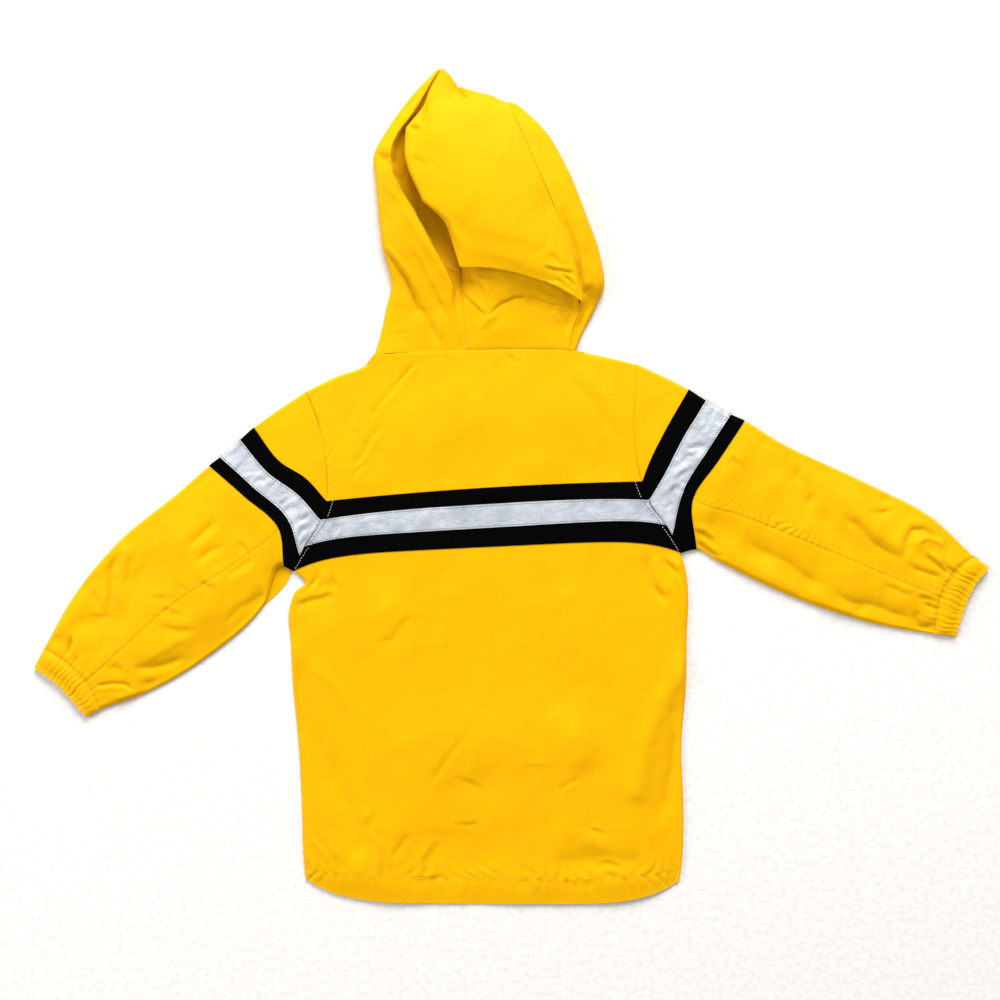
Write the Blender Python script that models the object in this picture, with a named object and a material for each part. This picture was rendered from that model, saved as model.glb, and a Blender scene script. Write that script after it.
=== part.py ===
"""Child's hooded raincoat laid flat on its front, back up, with the hood above the neck.

Every table is in millimetres: x to the right, y towards the hood, z up from the surface that
the coat lies on. The origin is in the middle of the coat's outline, on that surface. A row of a
table is one section or one fold of the cloth, and each piece is a sheet drawn through its rows.
"""

import math

import bmesh
import bpy
import numpy as np

MM = 0.001
COAT_NAME = "kids_raincoat"
CUTTERS_NAME = "cutters"

# Cloth and seams
WALL = 1.4
TRIM_WALL = 1.0
SEAM_GAP = 0.3
MERGE_DISTANCE = 1e-6
SHARP_ANGLE = 50
TINY = 1e-6

# Seam edges are cut upright. An edge that itself runs steeper than STEEPEST_CUT keeps the cut of
# the point before it, and no wall grows by more than 1 / LEAST_UPRIGHT where it leans.
STEEPEST_CUT = 0.2
LEAST_UPRIGHT = 0.6

# Heights of the laid-out layers
FOLD_RADIUS = 2.6
EDGE_HEIGHT = 3.3
FLAT_HEIGHT = 5.2
CAMBER = 1.4
CAMBER_REACH = 25.0
DROP_WIDTH = 6.0

# Front closing
FLAP_WIDTH = 44.0
FLAP_LINE_X = (-19.0, -37.0)
FLAP_LINE_Y = (-393.0, 134.0)

# Cuffs
CUFF_GATHERS = 16
CUFF_STEPS_PER_GATHER = 4
CUFF_UNDER_STEPS = 8
CUFF_HEIGHT = 6.2
CUFF_GATHER_DEPTH = 0.8
CUFF_RADIUS = 2.9
CUFF_FAR_ANGLES = (45, 0, -45, -90)
CUFF_NEAR_ANGLES = (-90, -45, 0, 45)

# Grid fineness
BODY_COLUMNS = 20
FRONT_COLUMNS = 5
FLAP_COLUMNS = 2
ACROSS_STEPS = (2, 2, 2)
SEAM_COLUMN = 4
EDGE_STATION = 5.0
WRAP_ANGLES = (90, 45, 0, -45, -90)
TRIM_WRAP_END = 0.6

# Colour, roughness and metallic of each cloth
YELLOW = ((0.99, 0.6, 0.0, 1.0), 0.6, 0.0)
BLACK = ((0.006, 0.006, 0.008, 1.0), 0.8, 0.0)
SILVER = ((0.6, 0.62, 0.66, 1.0), 0.45, 0.3)

# Armholes, from the armpit up to the shoulder: name, left x, left y, right x, right y, and the
# number of stretches up to the next row. The body and the sleeves share these points.
ARMHOLE = (
    ("armpit", -217.5, -84.5, 168.5, -66.0, 3),
    ("tape low", -207.5, -60.5, 155.5, -39.0, 2),
    ("tape high", -190.5, -33.5, 137.0, -13.5, 1),
    ("band high", -184.5, -14.5, 130.0, 5.0, 2),
    ("yoke", -184.5, 24.5, 122.5, 51.5, 2),
    ("cap", -192.5, 62.5, 123.5, 85.5, 2),
    ("shoulder", -205.5, 94.5, 126.0, 121.5, 0),
)

# Sides and shoulders of the body: name, left x, left y, right x, right y, stretches.
SIDES = (
    ("hem", -205.5, -391.5, 167.5, -393.5, 3),
    ("hem stitch", -206.5, -383.0, 169.0, -384.0, 3),
    ("skirt", -209.5, -313.5, 171.5, -313.5, 2),
    ("low waist", -212.0, -262.5, 169.5, -262.5, 3),
    ("waist", -218.5, -193.5, 174.5, -193.5, 2),
    ("ribs", -220.5, -153.5, 175.0, -150.0, 1),
    ("under", -222.0, -123.5, 176.4, -108.0, 1),
    ("notch", -215.2, -104.5, 174.5, -87.0, 1),
    ("tuck", -205.5, -96.5, 171.8, -75.5, 1),
    ("armpit", -217.5, -84.5, 168.5, -66.0, 0),
)
SHOULDERS = (
    ("shoulder", -205.5, 94.5, 126.0, 121.5, 2),
    ("shoulder mid", -177.5, 108.5, 94.5, 129.0, 1),
    ("neck side", -145.5, 121.5, 73.5, 133.5, 1),
    ("neck", -137.0, 131.9, 62.5, 136.0, 0),
)

# How far the middle of a body row lies above the straight line between its ends, and the power
# of that bow: a high power keeps the middle straight and turns only near the ends.
BOWS = {
    "hem": (-24.0, 5.5),
    "hem stitch": (-8.0, 4.0),
    "skirt": (0.0, 2.0),
    "low waist": (0.0, 2.0),
    "waist": (0.0, 2.0),
    "ribs": (0.0, 2.0),
    "under": (1.0, 4.0),
    "notch": (5.0, 5.0),
    "tuck": (9.0, 6.0),
    "armpit": (15.0, 6.0),
    "tape low": (8.5, 7.0),
    "tape high": (5.7, 3.0),
    "band high": (3.5, 2.0),
    "yoke": (0.0, 2.0),
    "cap": (0.0, 2.0),
    "shoulder": (0.0, 2.0),
    "shoulder mid": (0.0, 2.0),
    "neck side": (1.0, 2.0),
    "neck": (2.0, 2.0),
}

# Sleeves, from the shoulder down: name, then x and y of the top edge, the crown, the back seam
# and the underarm edge, and the stretches to the next row. The rows from "band in" to "pit" end
# on the armhole, so their underarm point is a number of stretches up from the armpit instead.
SLEEVE_LEFT = (
    ("armhole", (-205.5, 94.5), (-192.5, 62.5), (-184.5, 24.5), 6, 2),
    ("band in", (-256.9, 58.5), (-230.5, 24.5), (-205.5, 8.5), 6, 1),
    ("tape in", (-270.5, 46.5), (-243.5, 14.5), (-211.5, -9.5), 5, 3),
    ("tape out", (-290.5, 29.0), (-257.5, -0.5), (-221.5, -34.5), 2, 2),
    ("pit", (-296.5, 24.5), (-262.5, -5.0), (-227.5, -37.5), 0, 1),
    ("band out", (-301.5, 20.5), (-266.5, -9.5), (-231.5, -42.5), (-227.0, -79.5), 2),
    ("upper", (-331.5, -5.5), (-299.5, -43.5), (-275.5, -76.5), (-247.5, -118.5), 4),
    ("elbow", (-392.5, -55.5), (-366.5, -90.5), (-343.5, -122.0), (-307.5, -172.5), 3),
    ("fore", (-437.5, -110.5), (-415.5, -138.5), (-391.5, -165.5), (-369.0, -207.5), 2),
    ("cuff in", (-466.5, -161.5), (-445.5, -173.5), (-423.5, -194.5), (-410.5, -222.5), 0),
)
SLEEVE_RIGHT = (
    ("armhole", (126.0, 121.5), (123.5, 85.5), (122.5, 51.5), 6, 2),
    ("band in", (176.5, 96.5), (152.5, 54.5), (137.5, 24.5), 6, 1),
    ("tape in", (193.5, 85.5), (169.5, 45.5), (152.5, 12.5), 5, 3),
    ("tape out", (218.5, 71.5), (195.5, 36.5), (171.0, -4.5), 2, 2),
    ("pit", (225.5, 68.5), (201.5, 31.5), (176.0, -10.5), 0, 1),
    ("band out", (232.5, 65.5), (206.5, 26.5), (180.5, -13.5), (184.5, -62.5), 2),
    ("upper", (263.5, 46.5), (245.5, 4.5), (226.5, -28.5), (204.5, -73.5), 4),
    ("elbow", (355.5, 2.5), (328.5, -38.5), (308.5, -61.0), (279.5, -109.5), 3),
    ("fore", (419.5, -31.5), (398.5, -63.5), (373.5, -88.5), (356.5, -135.5), 2),
    ("cuff in", (460.5, -69.5), (439.5, -85.5), (426.5, -110.5), (421.5, -147.5), 0),
)
CUFF_OUT = {
    "left": ((-476.5, -180.5), (-455.5, -195.5), (-436.5, -215.5), (-423.5, -230.5)),
    "right": ((476.5, -80.5), (462.5, -98.5), (452.5, -119.5), (443.0, -150.5)),
}

# The largest folds of the laid-out cloth: x and y of both ends, half width and height, which is
# below zero for a trough.
FOLDS = (
    ("left upper sleeve", -280.5, -30.5, -328.5, -71.5, 9.0, -1.3),
    ("left elbow", -314.0, -140.0, -355.0, -134.0, 9.0, -1.2),
    ("left under seam", -318.5, -171.5, -388.5, -181.5, 9.0, -1.6),
    ("left top edge", -395.5, -58.5, -402.5, -125.5, 8.0, -1.4),
    ("left cuff crease", -453.5, -150.5, -440.5, -171.5, 6.0, -1.8),
    ("left cuff puff", -412.5, -208.5, -371.5, -209.5, 9.0, 2.0),
    ("right under seam", 301.0, -79.5, 336.5, -119.5, 9.0, -1.5),
    ("right forearm", 336.5, -119.5, 412.5, -136.5, 9.0, -1.6),
    ("right elbow", 336.5, -35.5, 377.5, -71.5, 7.0, -1.6),
    ("right cuff puff", 403.5, -53.5, 423.5, -65.5, 9.0, 2.4),
    ("right cuff bump", 408.0, -122.0, 414.0, -129.0, 9.0, 2.2),
    ("left armpit", -214.5, -115.5, -175.5, -109.5, 6.0, -1.5),
    ("right armpit", 139.5, -69.5, 142.5, -97.5, 7.0, -1.5),
    ("left shoulder", -94.5, 125.5, -155.5, 24.5, 7.0, -1.4),
    ("small of the back", -46.5, -249.5, -77.5, -294.5, 6.0, -1.3),
    ("right side", 163.5, -249.5, 149.5, -305.5, 7.0, -1.5),
    ("middle ridge", 54.5, -95.5, 73.5, -339.5, 12.0, 0.9),
)

# Centre panel of the hood, along the cloth: up from the neck over the nape, down into the pocket
# under the slumped crown, back out to its lip and over the crown to the peak. Left and right
# point, how far the middle lies above (z) and towards the peak (y) of the line between them,
# and the stretches to the next row.
HOOD_CENTRE = (
    ("neck", (-43.2, 136.3, 6.4), (57.0, 136.7, 6.4), 0.0, 0.0, 2),
    ("nape", (-45.0, 156.5, 8.0), (59.5, 153.5, 7.0), 1.5, 0.0, 2),
    ("crest", (-48.0, 178.5, 11.0), (66.5, 174.5, 8.5), 2.0, 0.0, 2),
    ("floor", (-50.2, 196.5, 9.0), (67.5, 180.5, 8.0), -2.5, 0.0, 2),
    ("deep", (-50.2, 224.5, 6.5), (60.5, 200.5, 6.5), -0.5, 4.0, 2),
    ("bend", (-50.2, 235.5, 10.0), (58.5, 211.5, 9.5), 0.0, 4.0, 2),
    ("over", (-50.2, 227.5, 14.0), (63.5, 200.5, 13.0), 1.0, 5.0, 2),
    ("lip low", (-50.6, 218.5, 14.5), (68.0, 187.0, 11.7), 3.0, 9.6, 1),
    ("lip", (-51.0, 216.0, 17.0), (69.0, 183.0, 14.2), 4.0, 9.6, 1),
    ("lip high", (-51.8, 219.5, 20.0), (69.0, 186.0, 17.0), 5.0, 9.6, 2),
    ("brow", (-58.5, 236.5, 22.5), (66.0, 201.5, 19.0), 5.0, 4.0, 2),
    ("crown low", (-65.5, 260.5, 24.0), (59.5, 231.5, 22.0), 6.0, 0.0, 2),
    ("crown mid", (-90.5, 284.5, 23.0), (45.5, 268.5, 23.0), 6.0, 0.0, 3),
    ("crown high", (-105.5, 326.5, 21.0), (23.5, 319.5, 22.0), 4.0, 0.0, 2),
    ("brim low", (-104.5, 353.5, 19.0), (10.0, 351.5, 18.0), 3.0, 0.0, 2),
    ("brim mid", (-87.5, 376.5, 15.0), (1.0, 373.5, 13.0), 2.5, 0.0, 2),
    ("brim", (-80.5, 396.5, 11.0), (-0.5, 380.5, 9.0), 2.0, -3.0, 1),
    ("peak", (-70.5, 418.0, 4.5), (-1.0, 383.7, 4.0), 1.0, -5.0, 0),
)
HOOD_CENTRE_COLUMNS = 10

# Right side of the hood, outwards from the centre panel's right edge, which gives the first
# point: how far the side's edge lies below it, then x and z of two points across the side, x and
# y of the outline, and x of the edge underneath.
HOOD_RIGHT = (
    ("neck", 0.0, (59.0, 6.2), (61.0, 5.8), (64.0, 136.8), -11.5),
    ("nape", 0.0, (62.3, 6.6), (65.5, 6.0), (71.0, 153.5), -11.5),
    ("crest", 0.0, (70.5, 8.5), (75.5, 7.5), (82.0, 174.5), -11.5),
    ("lip", 2.0, (74.0, 10.0), (79.5, 8.5), (86.0, 183.0), -11.5),
    ("lip high", 3.0, (74.0, 12.0), (81.0, 10.0), (87.0, 186.0), -11.5),
    ("brow", 7.0, (73.5, 15.0), (83.5, 13.0), (92.5, 199.5), -11.5),
    ("crown low", 5.0, (68.5, 18.0), (79.0, 15.0), (88.0, 232.5), -11.5),
    ("crown mid", 0.0, (54.5, 20.0), (66.0, 15.5), (75.5, 268.5), -11.5),
    ("crown high", 0.0, (32.5, 20.0), (44.5, 14.5), (54.5, 319.5), -11.5),
    ("brim low", 0.0, (18.5, 16.5), (28.5, 12.0), (37.5, 349.5), -16.0),
    ("brim mid", 0.0, (4.0, 12.3), (7.0, 10.5), (12.0, 373.0), -20.0),
)
HOOD_RIGHT_ACROSS = (2, 2)

# Left side of the hood. The first four rows end on the centre panel's left edge, and the others
# run on under the crown to the end point given. Then x and z of the trough, the crest of the
# side, the fold below it and the flank, x and y of the outline, x of the edge underneath, and
# the stretches to the next row.
HOOD_LEFT = (
    ("neck", None, (-52.5, 6.8), (-63.5, 7.0), (-79.5, 6.0),
     (-116.5, 6.5), (-136.5, 132.3), -41.5, 2),
    ("nape", None, (-55.5, 9.0), (-68.5, 10.0), (-83.5, 5.5),
     (-110.0, 7.0), (-129.5, 156.5), -41.5, 2),
    ("crest", None, (-61.5, 12.0), (-80.5, 13.0), (-94.5, 5.6),
     (-110.5, 7.0), (-125.0, 178.5), -41.5, 2),
    ("floor", None, (-63.5, 14.0), (-87.5, 16.0), (-102.5, 6.5),
     (-113.5, 8.0), (-120.1, 199.5), -41.5, 2),
    ("notch", (-51.6, 218.5, 7.0), (-61.5, 8.0), (-74.5, 19.0), (-110.5, 10.0),
     (-117.5, 9.5), (-123.0, 218.5), -41.5, 2),
    ("lower", (-53.0, 236.5, 6.5), (-67.5, 7.0), (-79.5, 20.0), (-115.5, 15.0),
     (-122.5, 13.0), (-128.2, 236.5), -45.0, 2),
    ("middle", (-53.5, 260.5, 6.0), (-80.5, 5.5), (-91.5, 22.0), (-117.5, 18.0),
     (-125.5, 14.5), (-131.5, 260.5), -50.0, 2),
    ("upper", (-71.5, 284.5, 6.0), (-96.5, 5.0), (-105.5, 22.0), (-120.5, 19.0),
     (-127.5, 14.5), (-133.7, 284.5), -55.0, 2),
    ("bend", (-83.5, 308.5, 6.0), (-108.5, 5.5), (-117.5, 21.0), (-125.5, 18.0),
     (-130.5, 14.0), (-135.7, 308.5), -60.0, 2),
    ("corner", (-89.5, 329.5, 9.0), (-112.5, 11.0), (-120.5, 19.5), (-127.5, 17.0),
     (-132.5, 13.0), (-137.5, 329.5), -65.0, 2),
    ("slope", (-89.5, 351.5, 12.0), (-107.5, 14.5), (-112.5, 18.0), (-118.5, 16.0),
     (-122.5, 12.5), (-127.5, 349.5), -70.0, 2),
    ("high", (-79.5, 371.5, 11.0), (-91.5, 12.5), (-97.5, 16.0), (-104.5, 14.5),
     (-109.0, 11.0), (-113.9, 370.5), -72.0, 2),
    ("tip", (-73.5, 391.5, 7.5), (-82.5, 8.5), (-86.5, 11.5), (-90.5, 10.5),
     (-94.0, 8.3), (-98.0, 391.5), -70.0, 1),
    ("end", (-73.0, 406.5, 5.8), (-76.5, 6.6), (-78.0, 7.4), (-79.7, 7.0),
     (-81.5, 6.0), (-84.0, 406.5), -68.0, 0),
)
HOOD_LEFT_ACROSS = (2, 2, 2, 2)
SHARED_HOOD_ROWS = 4
HOOD_EDGE_HEIGHT = 2.6
HOOD_FLANK_ANGLES = (60, 30, 0)
HOOD_UNDER_ANGLES = (45, 90)
HOOD_UNDER_SHARES = (0.5, 1.0)

# Rows where an edge of the centre panel turns sharply
HOOD_CORNERS = {"left": ("floor", "lip"), "right": ("crest", "lip")}


# ---------------------------------------------------------------- curves and grids


def smooth_path(points, steps):
    """Points on a smooth curve through the given ones, steps[i] stretches from point i on."""
    points = np.array(points, dtype=float)
    chords = np.diff(points, axis=0)
    lengths = np.linalg.norm(chords, axis=1)[:, None]
    slopes = chords / lengths
    tangents = np.empty_like(points)
    tangents[0] = slopes[0]
    tangents[-1] = slopes[-1]
    weights = lengths[1:] + lengths[:-1]
    tangents[1:-1] = (slopes[:-1] * lengths[1:] + slopes[1:] * lengths[:-1]) / weights
    curve = [points[0]]
    for i, count in enumerate(steps):
        for k in range(1, count + 1):
            t = k / count
            start = points[i] * (1 + 2 * t) * (1 - t) ** 2
            end = points[i + 1] * t * t * (3 - 2 * t)
            leave = tangents[i] * lengths[i] * t * (1 - t) ** 2
            arrive = tangents[i + 1] * lengths[i] * t * t * (t - 1)
            curve.append(start + end + leave + arrive)
    return np.array(curve)


def joined(*runs):
    """Runs of points end to end, without the doubled points where they meet."""
    parts = [runs[0]] + [run[1:] for run in runs[1:]]
    return np.concatenate(parts)


def side_point(row, side):
    """The left or right point of a row of the body's tables."""
    return row[1:3] if side == "left" else row[3:5]


def run_along(rows, side):
    """One side of the body through the rows of one table."""
    steps = [row[5] for row in rows[:-1]]
    return smooth_path([side_point(row, side) for row in rows], steps)


def shifted(path, distance):
    """A plan path moved sideways, to its left as it runs for a distance above zero."""
    along = np.gradient(path, axis=0)
    along /= np.linalg.norm(along, axis=1)[:, None]
    sideways = np.stack([-along[:, 1], along[:, 0]], axis=1)
    return path + sideways * distance


def segment_distance(points, start, end):
    """Distance of each plan point from a straight segment."""
    direction = end - start
    length_squared = max(float(direction @ direction), TINY)
    t = np.clip(((points - start) @ direction) / length_squared, 0.0, 1.0)
    return np.linalg.norm(points - start - t[..., None] * direction, axis=-1)


def path_distance(points, paths):
    """Distance of each plan point from the nearest of several paths."""
    nearest = np.full(points.shape[:-1], np.inf)
    for path in paths:
        for start, end in zip(path[:-1], path[1:]):
            nearest = np.minimum(nearest, segment_distance(points, start, end))
    return nearest


def fold_heights(points):
    """How far the folds raise or lower each plan point."""
    total = np.zeros(points.shape[:-1])
    for _, x1, y1, x2, y2, width, height in FOLDS:
        distance = segment_distance(points, np.array([x1, y1]), np.array([x2, y2]))
        total += height * np.exp(-((distance / width) ** 2))
    return total


def top_height(points, outline):
    """Height of the upper layer: low at the outline, flat inside it, with camber and folds."""
    distance = path_distance(points, outline)
    drop = np.sin(0.5 * math.pi * np.clip(distance / DROP_WIDTH, 0.0, 1.0))
    inside = np.maximum(distance - DROP_WIDTH, 0.0)
    camber = CAMBER * (1.0 - np.exp(-inside / CAMBER_REACH))
    height = EDGE_HEIGHT + (FLAT_HEIGHT - EDGE_HEIGHT) * drop + camber
    return np.maximum(height + fold_heights(points) * drop, EDGE_HEIGHT)


def lifted(plan, heights):
    """Plan points with their heights as a grid of 3-D points."""
    return np.concatenate([plan, np.asarray(heights)[..., None]], axis=-1)


def grid_normals(grid):
    """Outward unit normals of a grid whose first corner faces up."""
    along = np.gradient(grid, axis=0)
    across = np.gradient(grid, axis=1)
    normals = np.cross(along, across) * first_side(grid)
    lengths = np.linalg.norm(normals, axis=-1)
    for i, j in np.argwhere(lengths < TINY):
        neighbour = j - 1 if j > 0 else j + 1
        normals[i, j] = normals[i, neighbour]
        lengths[i, j] = lengths[i, neighbour]
    return normals / lengths[..., None]


def outward_offsets(grid, seam_columns=()):
    """Steps out of a grid for each millimetre of cloth, upright along its ends and seams."""
    offsets = grid_normals(grid)
    for row in (0, -1):
        offsets[row] = squared(grid[row], offsets[row])
    for column in seam_columns:
        offsets[:, column] = squared(grid[:, column], offsets[:, column])
    for i in range(1, len(grid)):
        same = np.linalg.norm(grid[i] - grid[i - 1], axis=1) < MERGE_DISTANCE / MM
        offsets[i, same] = offsets[i - 1, same]
    return offsets


def squared(line, normals):
    """Normals along an edge turned into the edge's own upright plane, as a seam is cut."""
    tangents = np.gradient(line, axis=0)
    result = normals.copy()
    sideways = None
    for i, tangent in enumerate(tangents):
        plan_length = math.hypot(tangent[0], tangent[1])
        if plan_length > max(STEEPEST_CUT * np.linalg.norm(tangent), TINY):
            sideways = np.array([-tangent[1], tangent[0], 0.0]) / plan_length
        if sideways is None:
            continue
        upright = normals[i] - sideways * (normals[i] @ sideways)
        share = max(float(upright @ normals[i]), LEAST_UPRIGHT)
        result[i] = upright / share
    return result


def first_side(grid):
    """1 where the grid's own winding faces up in its first corner, and -1 where it faces down."""
    along = grid[1, :2].mean(axis=0) - grid[0, :2].mean(axis=0)
    across = grid[:2, 1].mean(axis=0) - grid[:2, 0].mean(axis=0)
    return 1.0 if np.cross(along, across)[2] > 0 else -1.0


# ---------------------------------------------------------------- Blender objects


def cloth_material(name, cloth):
    """A Principled material for one piece, from its colour, roughness and metallic."""
    colour, roughness, metallic = cloth
    material = bpy.data.materials.new(name)
    material.use_nodes = True
    shader = material.node_tree.nodes["Principled BSDF"]
    shader.inputs["Base Color"].default_value = colour
    shader.inputs["Roughness"].default_value = roughness
    shader.inputs["Metallic"].default_value = metallic
    return material


def yellow_cloth(name):
    """Coated yellow cloth."""
    return cloth_material(name, YELLOW)


def black_trim(name):
    """Black woven trim."""
    return cloth_material(name, BLACK)


def silver_tape(name):
    """Reflective silver tape."""
    return cloth_material(name, SILVER)


def new_object(name, mesh, material):
    """An object of the coat's collection with its own material."""
    obj = bpy.data.objects.new(name, mesh)
    obj.data.materials.append(material)
    bpy.data.collections[COAT_NAME].objects.link(obj)


def mesh_of(name, points, faces):
    """A smooth-shaded mesh in metres from points in millimetres."""
    mesh = bpy.data.meshes.new(name)
    mesh.from_pydata([tuple(MM * np.array(point)) for point in points], [], faces)
    shape = bmesh.new()
    shape.from_mesh(mesh)
    bmesh.ops.remove_doubles(shape, verts=shape.verts, dist=MERGE_DISTANCE)
    shape.to_mesh(mesh)
    shape.free()
    mesh.shade_smooth()
    mesh.set_sharp_from_angle(angle=math.radians(SHARP_ANGLE))
    return mesh


def sheet(name, grid, wall, material, seam_columns=()):
    """Cloth with its outer face on a grid of points, and its wall behind it."""
    inner = grid - outward_offsets(grid, seam_columns) * wall
    rows, columns = grid.shape[:2]
    faces = []
    for i in range(rows - 1):
        for j in range(columns - 1):
            faces.extend(wall_faces(i * columns + j, (i + 1) * columns + j, 1, rows * columns))
    rim = list(range(columns)) + [i * columns + columns - 1 for i in range(1, rows)]
    rim += [(rows - 1) * columns + j for j in range(columns - 2, -1, -1)]
    rim += [i * columns for i in range(rows - 2, 0, -1)]
    for a, b in zip(rim, rim[1:] + rim[:1]):
        faces.append((a, b, b + rows * columns, a + rows * columns))
    if first_side(grid) < 0:
        faces = [face[::-1] for face in faces]
    points = np.concatenate([grid.reshape(-1, 3), inner.reshape(-1, 3)])
    new_object(name, mesh_of(name, points, faces), material)


def wall_faces(near, far, step, inside):
    """One cell of a cloth's outer grid and the cell behind it, split along the same diagonal."""
    outer = ((near, far, far + step), (near, far + step, near + step))
    inner = (tuple(corner + inside for corner in face[::-1]) for face in outer)
    return *outer, *inner


def trim(name, grid, below, material, seam_columns):
    """A strip that lies on a panel's points, moved out by the gap and what is already there."""
    distance = below + SEAM_GAP + TRIM_WALL
    outer = grid + outward_offsets(grid, seam_columns) * distance
    sheet(name, outer, TRIM_WALL, material, seam_columns)


def ring_wall(name, outer, inner, material):
    """A closed tube wall between an outer and an inner stack of rings."""
    rows, count = outer.shape[:2]
    inside = rows * count
    last = (rows - 1) * count
    faces = []
    for j in range(count):
        step = (j + 1) % count - j
        for i in range(rows - 1):
            faces.extend(wall_faces(i * count + j, (i + 1) * count + j, step, inside))
        faces.append((j, j + step, inside + j + step, inside + j))
        faces.append((last + j, inside + last + j, inside + last + j + step, last + j + step))
    points = np.concatenate([outer.reshape(-1, 3), inner.reshape(-1, 3)])
    mesh = mesh_of(name, points, faces)
    shape = bmesh.new()
    shape.from_mesh(mesh)
    bmesh.ops.recalc_face_normals(shape, faces=shape.faces)
    shape.to_mesh(mesh)
    shape.free()
    new_object(name, mesh, material)


# ---------------------------------------------------------------- the body


def body_rows():
    """The body's rows from the hem to the neck, in one list with their stretches."""
    return list(SIDES[:-1]) + list(ARMHOLE[:-1]) + list(SHOULDERS)


def row_numbers():
    """The grid row of each named row of the body."""
    numbers = {}
    count = 0
    for row in body_rows():
        numbers[row[0]] = count
        count += row[5]
    return numbers


def body_rail(side):
    """The side of the body from the hem over the armhole to the neck."""
    return joined(*(run_along(rows, side) for rows in (SIDES, ARMHOLE, SHOULDERS)))


def body_plan(shares):
    """Plan points of the body at shares of its width, the same for all rows or a set for each."""
    left = body_rail("left")
    right = body_rail("right")
    numbers = row_numbers()
    places = [numbers[name] for name in BOWS]
    grid_rows = np.arange(len(left))
    bows = np.interp(grid_rows, places, [bow for bow, _ in BOWS.values()])
    powers = np.interp(grid_rows, places, [power for _, power in BOWS.values()])
    chord = right - left
    length = np.linalg.norm(chord, axis=1)[:, None]
    upwards = np.stack([-chord[:, 1], chord[:, 0]], axis=1) / length
    shares = np.broadcast_to(shares, (len(left), np.shape(shares)[-1]))
    shape = 1.0 - np.abs(2 * shares - 1) ** powers[:, None]
    offset = (bows[:, None] * shape)[..., None] * upwards[:, None, :]
    return left[:, None, :] + chord[:, None, :] * shares[..., None] + offset


def eased_shares(count):
    """Shares from 0 to 1 that are closer together near both ends."""
    return [0.5 - 0.5 * math.cos(math.pi * k / count) for k in range(count + 1)]


def make_back(outline):
    """The back panel, with the band and the tape that lie on it."""
    plan = body_plan(eased_shares(BODY_COLUMNS))
    grid = lifted(plan, top_height(plan, outline))
    rows = row_numbers()
    sheet("back", grid, WALL, yellow_cloth("back_cloth"), (0, -1))
    band = grid[rows["armpit"]:rows["band high"] + 1]
    trim("back_band", band, 0.0, black_trim("back_band_cloth"), (0, -1))
    tape = grid[rows["tape low"]:rows["tape high"] + 1]
    trim("back_tape", tape, SEAM_GAP + TRIM_WALL, silver_tape("back_tape_cloth"), (0, -1))


def make_fronts():
    """The two fronts and the flap between them, flat on the surface."""
    left = body_rail("left")
    right = body_rail("right")
    widths = right[:, 0] - left[:, 0]
    middle_x = np.interp(0.5 * (left[:, 1] + right[:, 1]), FLAP_LINE_Y, FLAP_LINE_X)
    middle = (middle_x - left[:, 0]) / widths
    half = 0.5 * FLAP_WIDTH / widths
    gap = SEAM_GAP / widths
    pieces = (
        ("front_left", 0.0 * middle, middle - half - gap, FRONT_COLUMNS),
        ("front_flap", middle - half, middle + half, FLAP_COLUMNS),
        ("front_right", middle + half + gap, 0.0 * middle + 1.0, FRONT_COLUMNS),
    )
    for name, start, end, count in pieces:
        steps = np.arange(count + 1) / count
        plan = body_plan(start[:, None] + (end - start)[:, None] * steps)
        flat = lifted(plan, np.full(plan.shape[:2], WALL))
        sheet(name, flat, WALL, yellow_cloth(name + "_cloth"))


# ---------------------------------------------------------------- the sleeves


def sleeve_rows(side):
    """The sleeve's table for one side."""
    return SLEEVE_LEFT if side == "left" else SLEEVE_RIGHT


def sleeve_numbers(side):
    """The grid row of each named row of a sleeve."""
    numbers = {}
    count = 0
    for row in sleeve_rows(side):
        numbers[row[0]] = count
        count += row[5]
    return numbers


def sleeve_armhole(side):
    """The armhole from the armpit to the shoulder, a seam's gap outside the body."""
    outwards = 1.0 if side == "left" else -1.0
    return shifted(run_along(ARMHOLE, side), outwards * SEAM_GAP)


def sleeve_under(side):
    """The sleeve's lower edge: down the armhole to the armpit, then along the underarm."""
    rows = sleeve_rows(side)
    armhole = sleeve_armhole(side)
    corner = rows[0][4]
    held = [armhole[corner]] * (rows[0][5] + 1)
    down = armhole[corner::-1]
    names = [row[0] for row in rows]
    free = rows[names.index("pit"):]
    points = [armhole[0]] + [row[4] for row in free[1:]]
    underarm = smooth_path(points, [row[5] for row in free[:-1]])
    return joined(np.array(held), down, underarm)


def sleeve_plan(side):
    """Plan points of a sleeve: rows from the armhole to the cuff, columns from its top edge."""
    rows = sleeve_rows(side)
    steps = [row[5] for row in rows[:-1]]
    rails = [smooth_path([row[column] for row in rows], steps) for column in (1, 2, 3)]
    rails.append(sleeve_under(side))
    plan = []
    for points in zip(*rails):
        plan.append(smooth_path(points, ACROSS_STEPS))
    corner = rows[0][4]
    plan[0] = sleeve_armhole(side)[:corner - 1:-1]
    return np.array([with_edge_station(line) for line in plan])


def with_edge_station(line):
    """A row of plan points with one more near its last point, where the cloth turns down."""
    inwards = line[-2] - line[-1]
    station = line[-1] + inwards * EDGE_STATION / np.linalg.norm(inwards)
    return np.concatenate([line[:-1], [station], line[-1:]])


def wrapped(line):
    """Points round the fold at a row's first point, from above to below."""
    inwards = line[1] - line[0]
    inwards = inwards / np.linalg.norm(inwards)
    points = []
    for angle in WRAP_ANGLES:
        turn = math.radians(angle)
        plan = line[0] + inwards * FOLD_RADIUS * (1.0 - math.cos(turn))
        points.append(np.array([*plan, FOLD_RADIUS * (1.0 + math.sin(turn))]))
    return points


def upper_layer(plan, outline):
    """The sleeve's upper layer as 3-D points."""
    return lifted(plan, top_height(plan, outline))


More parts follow.
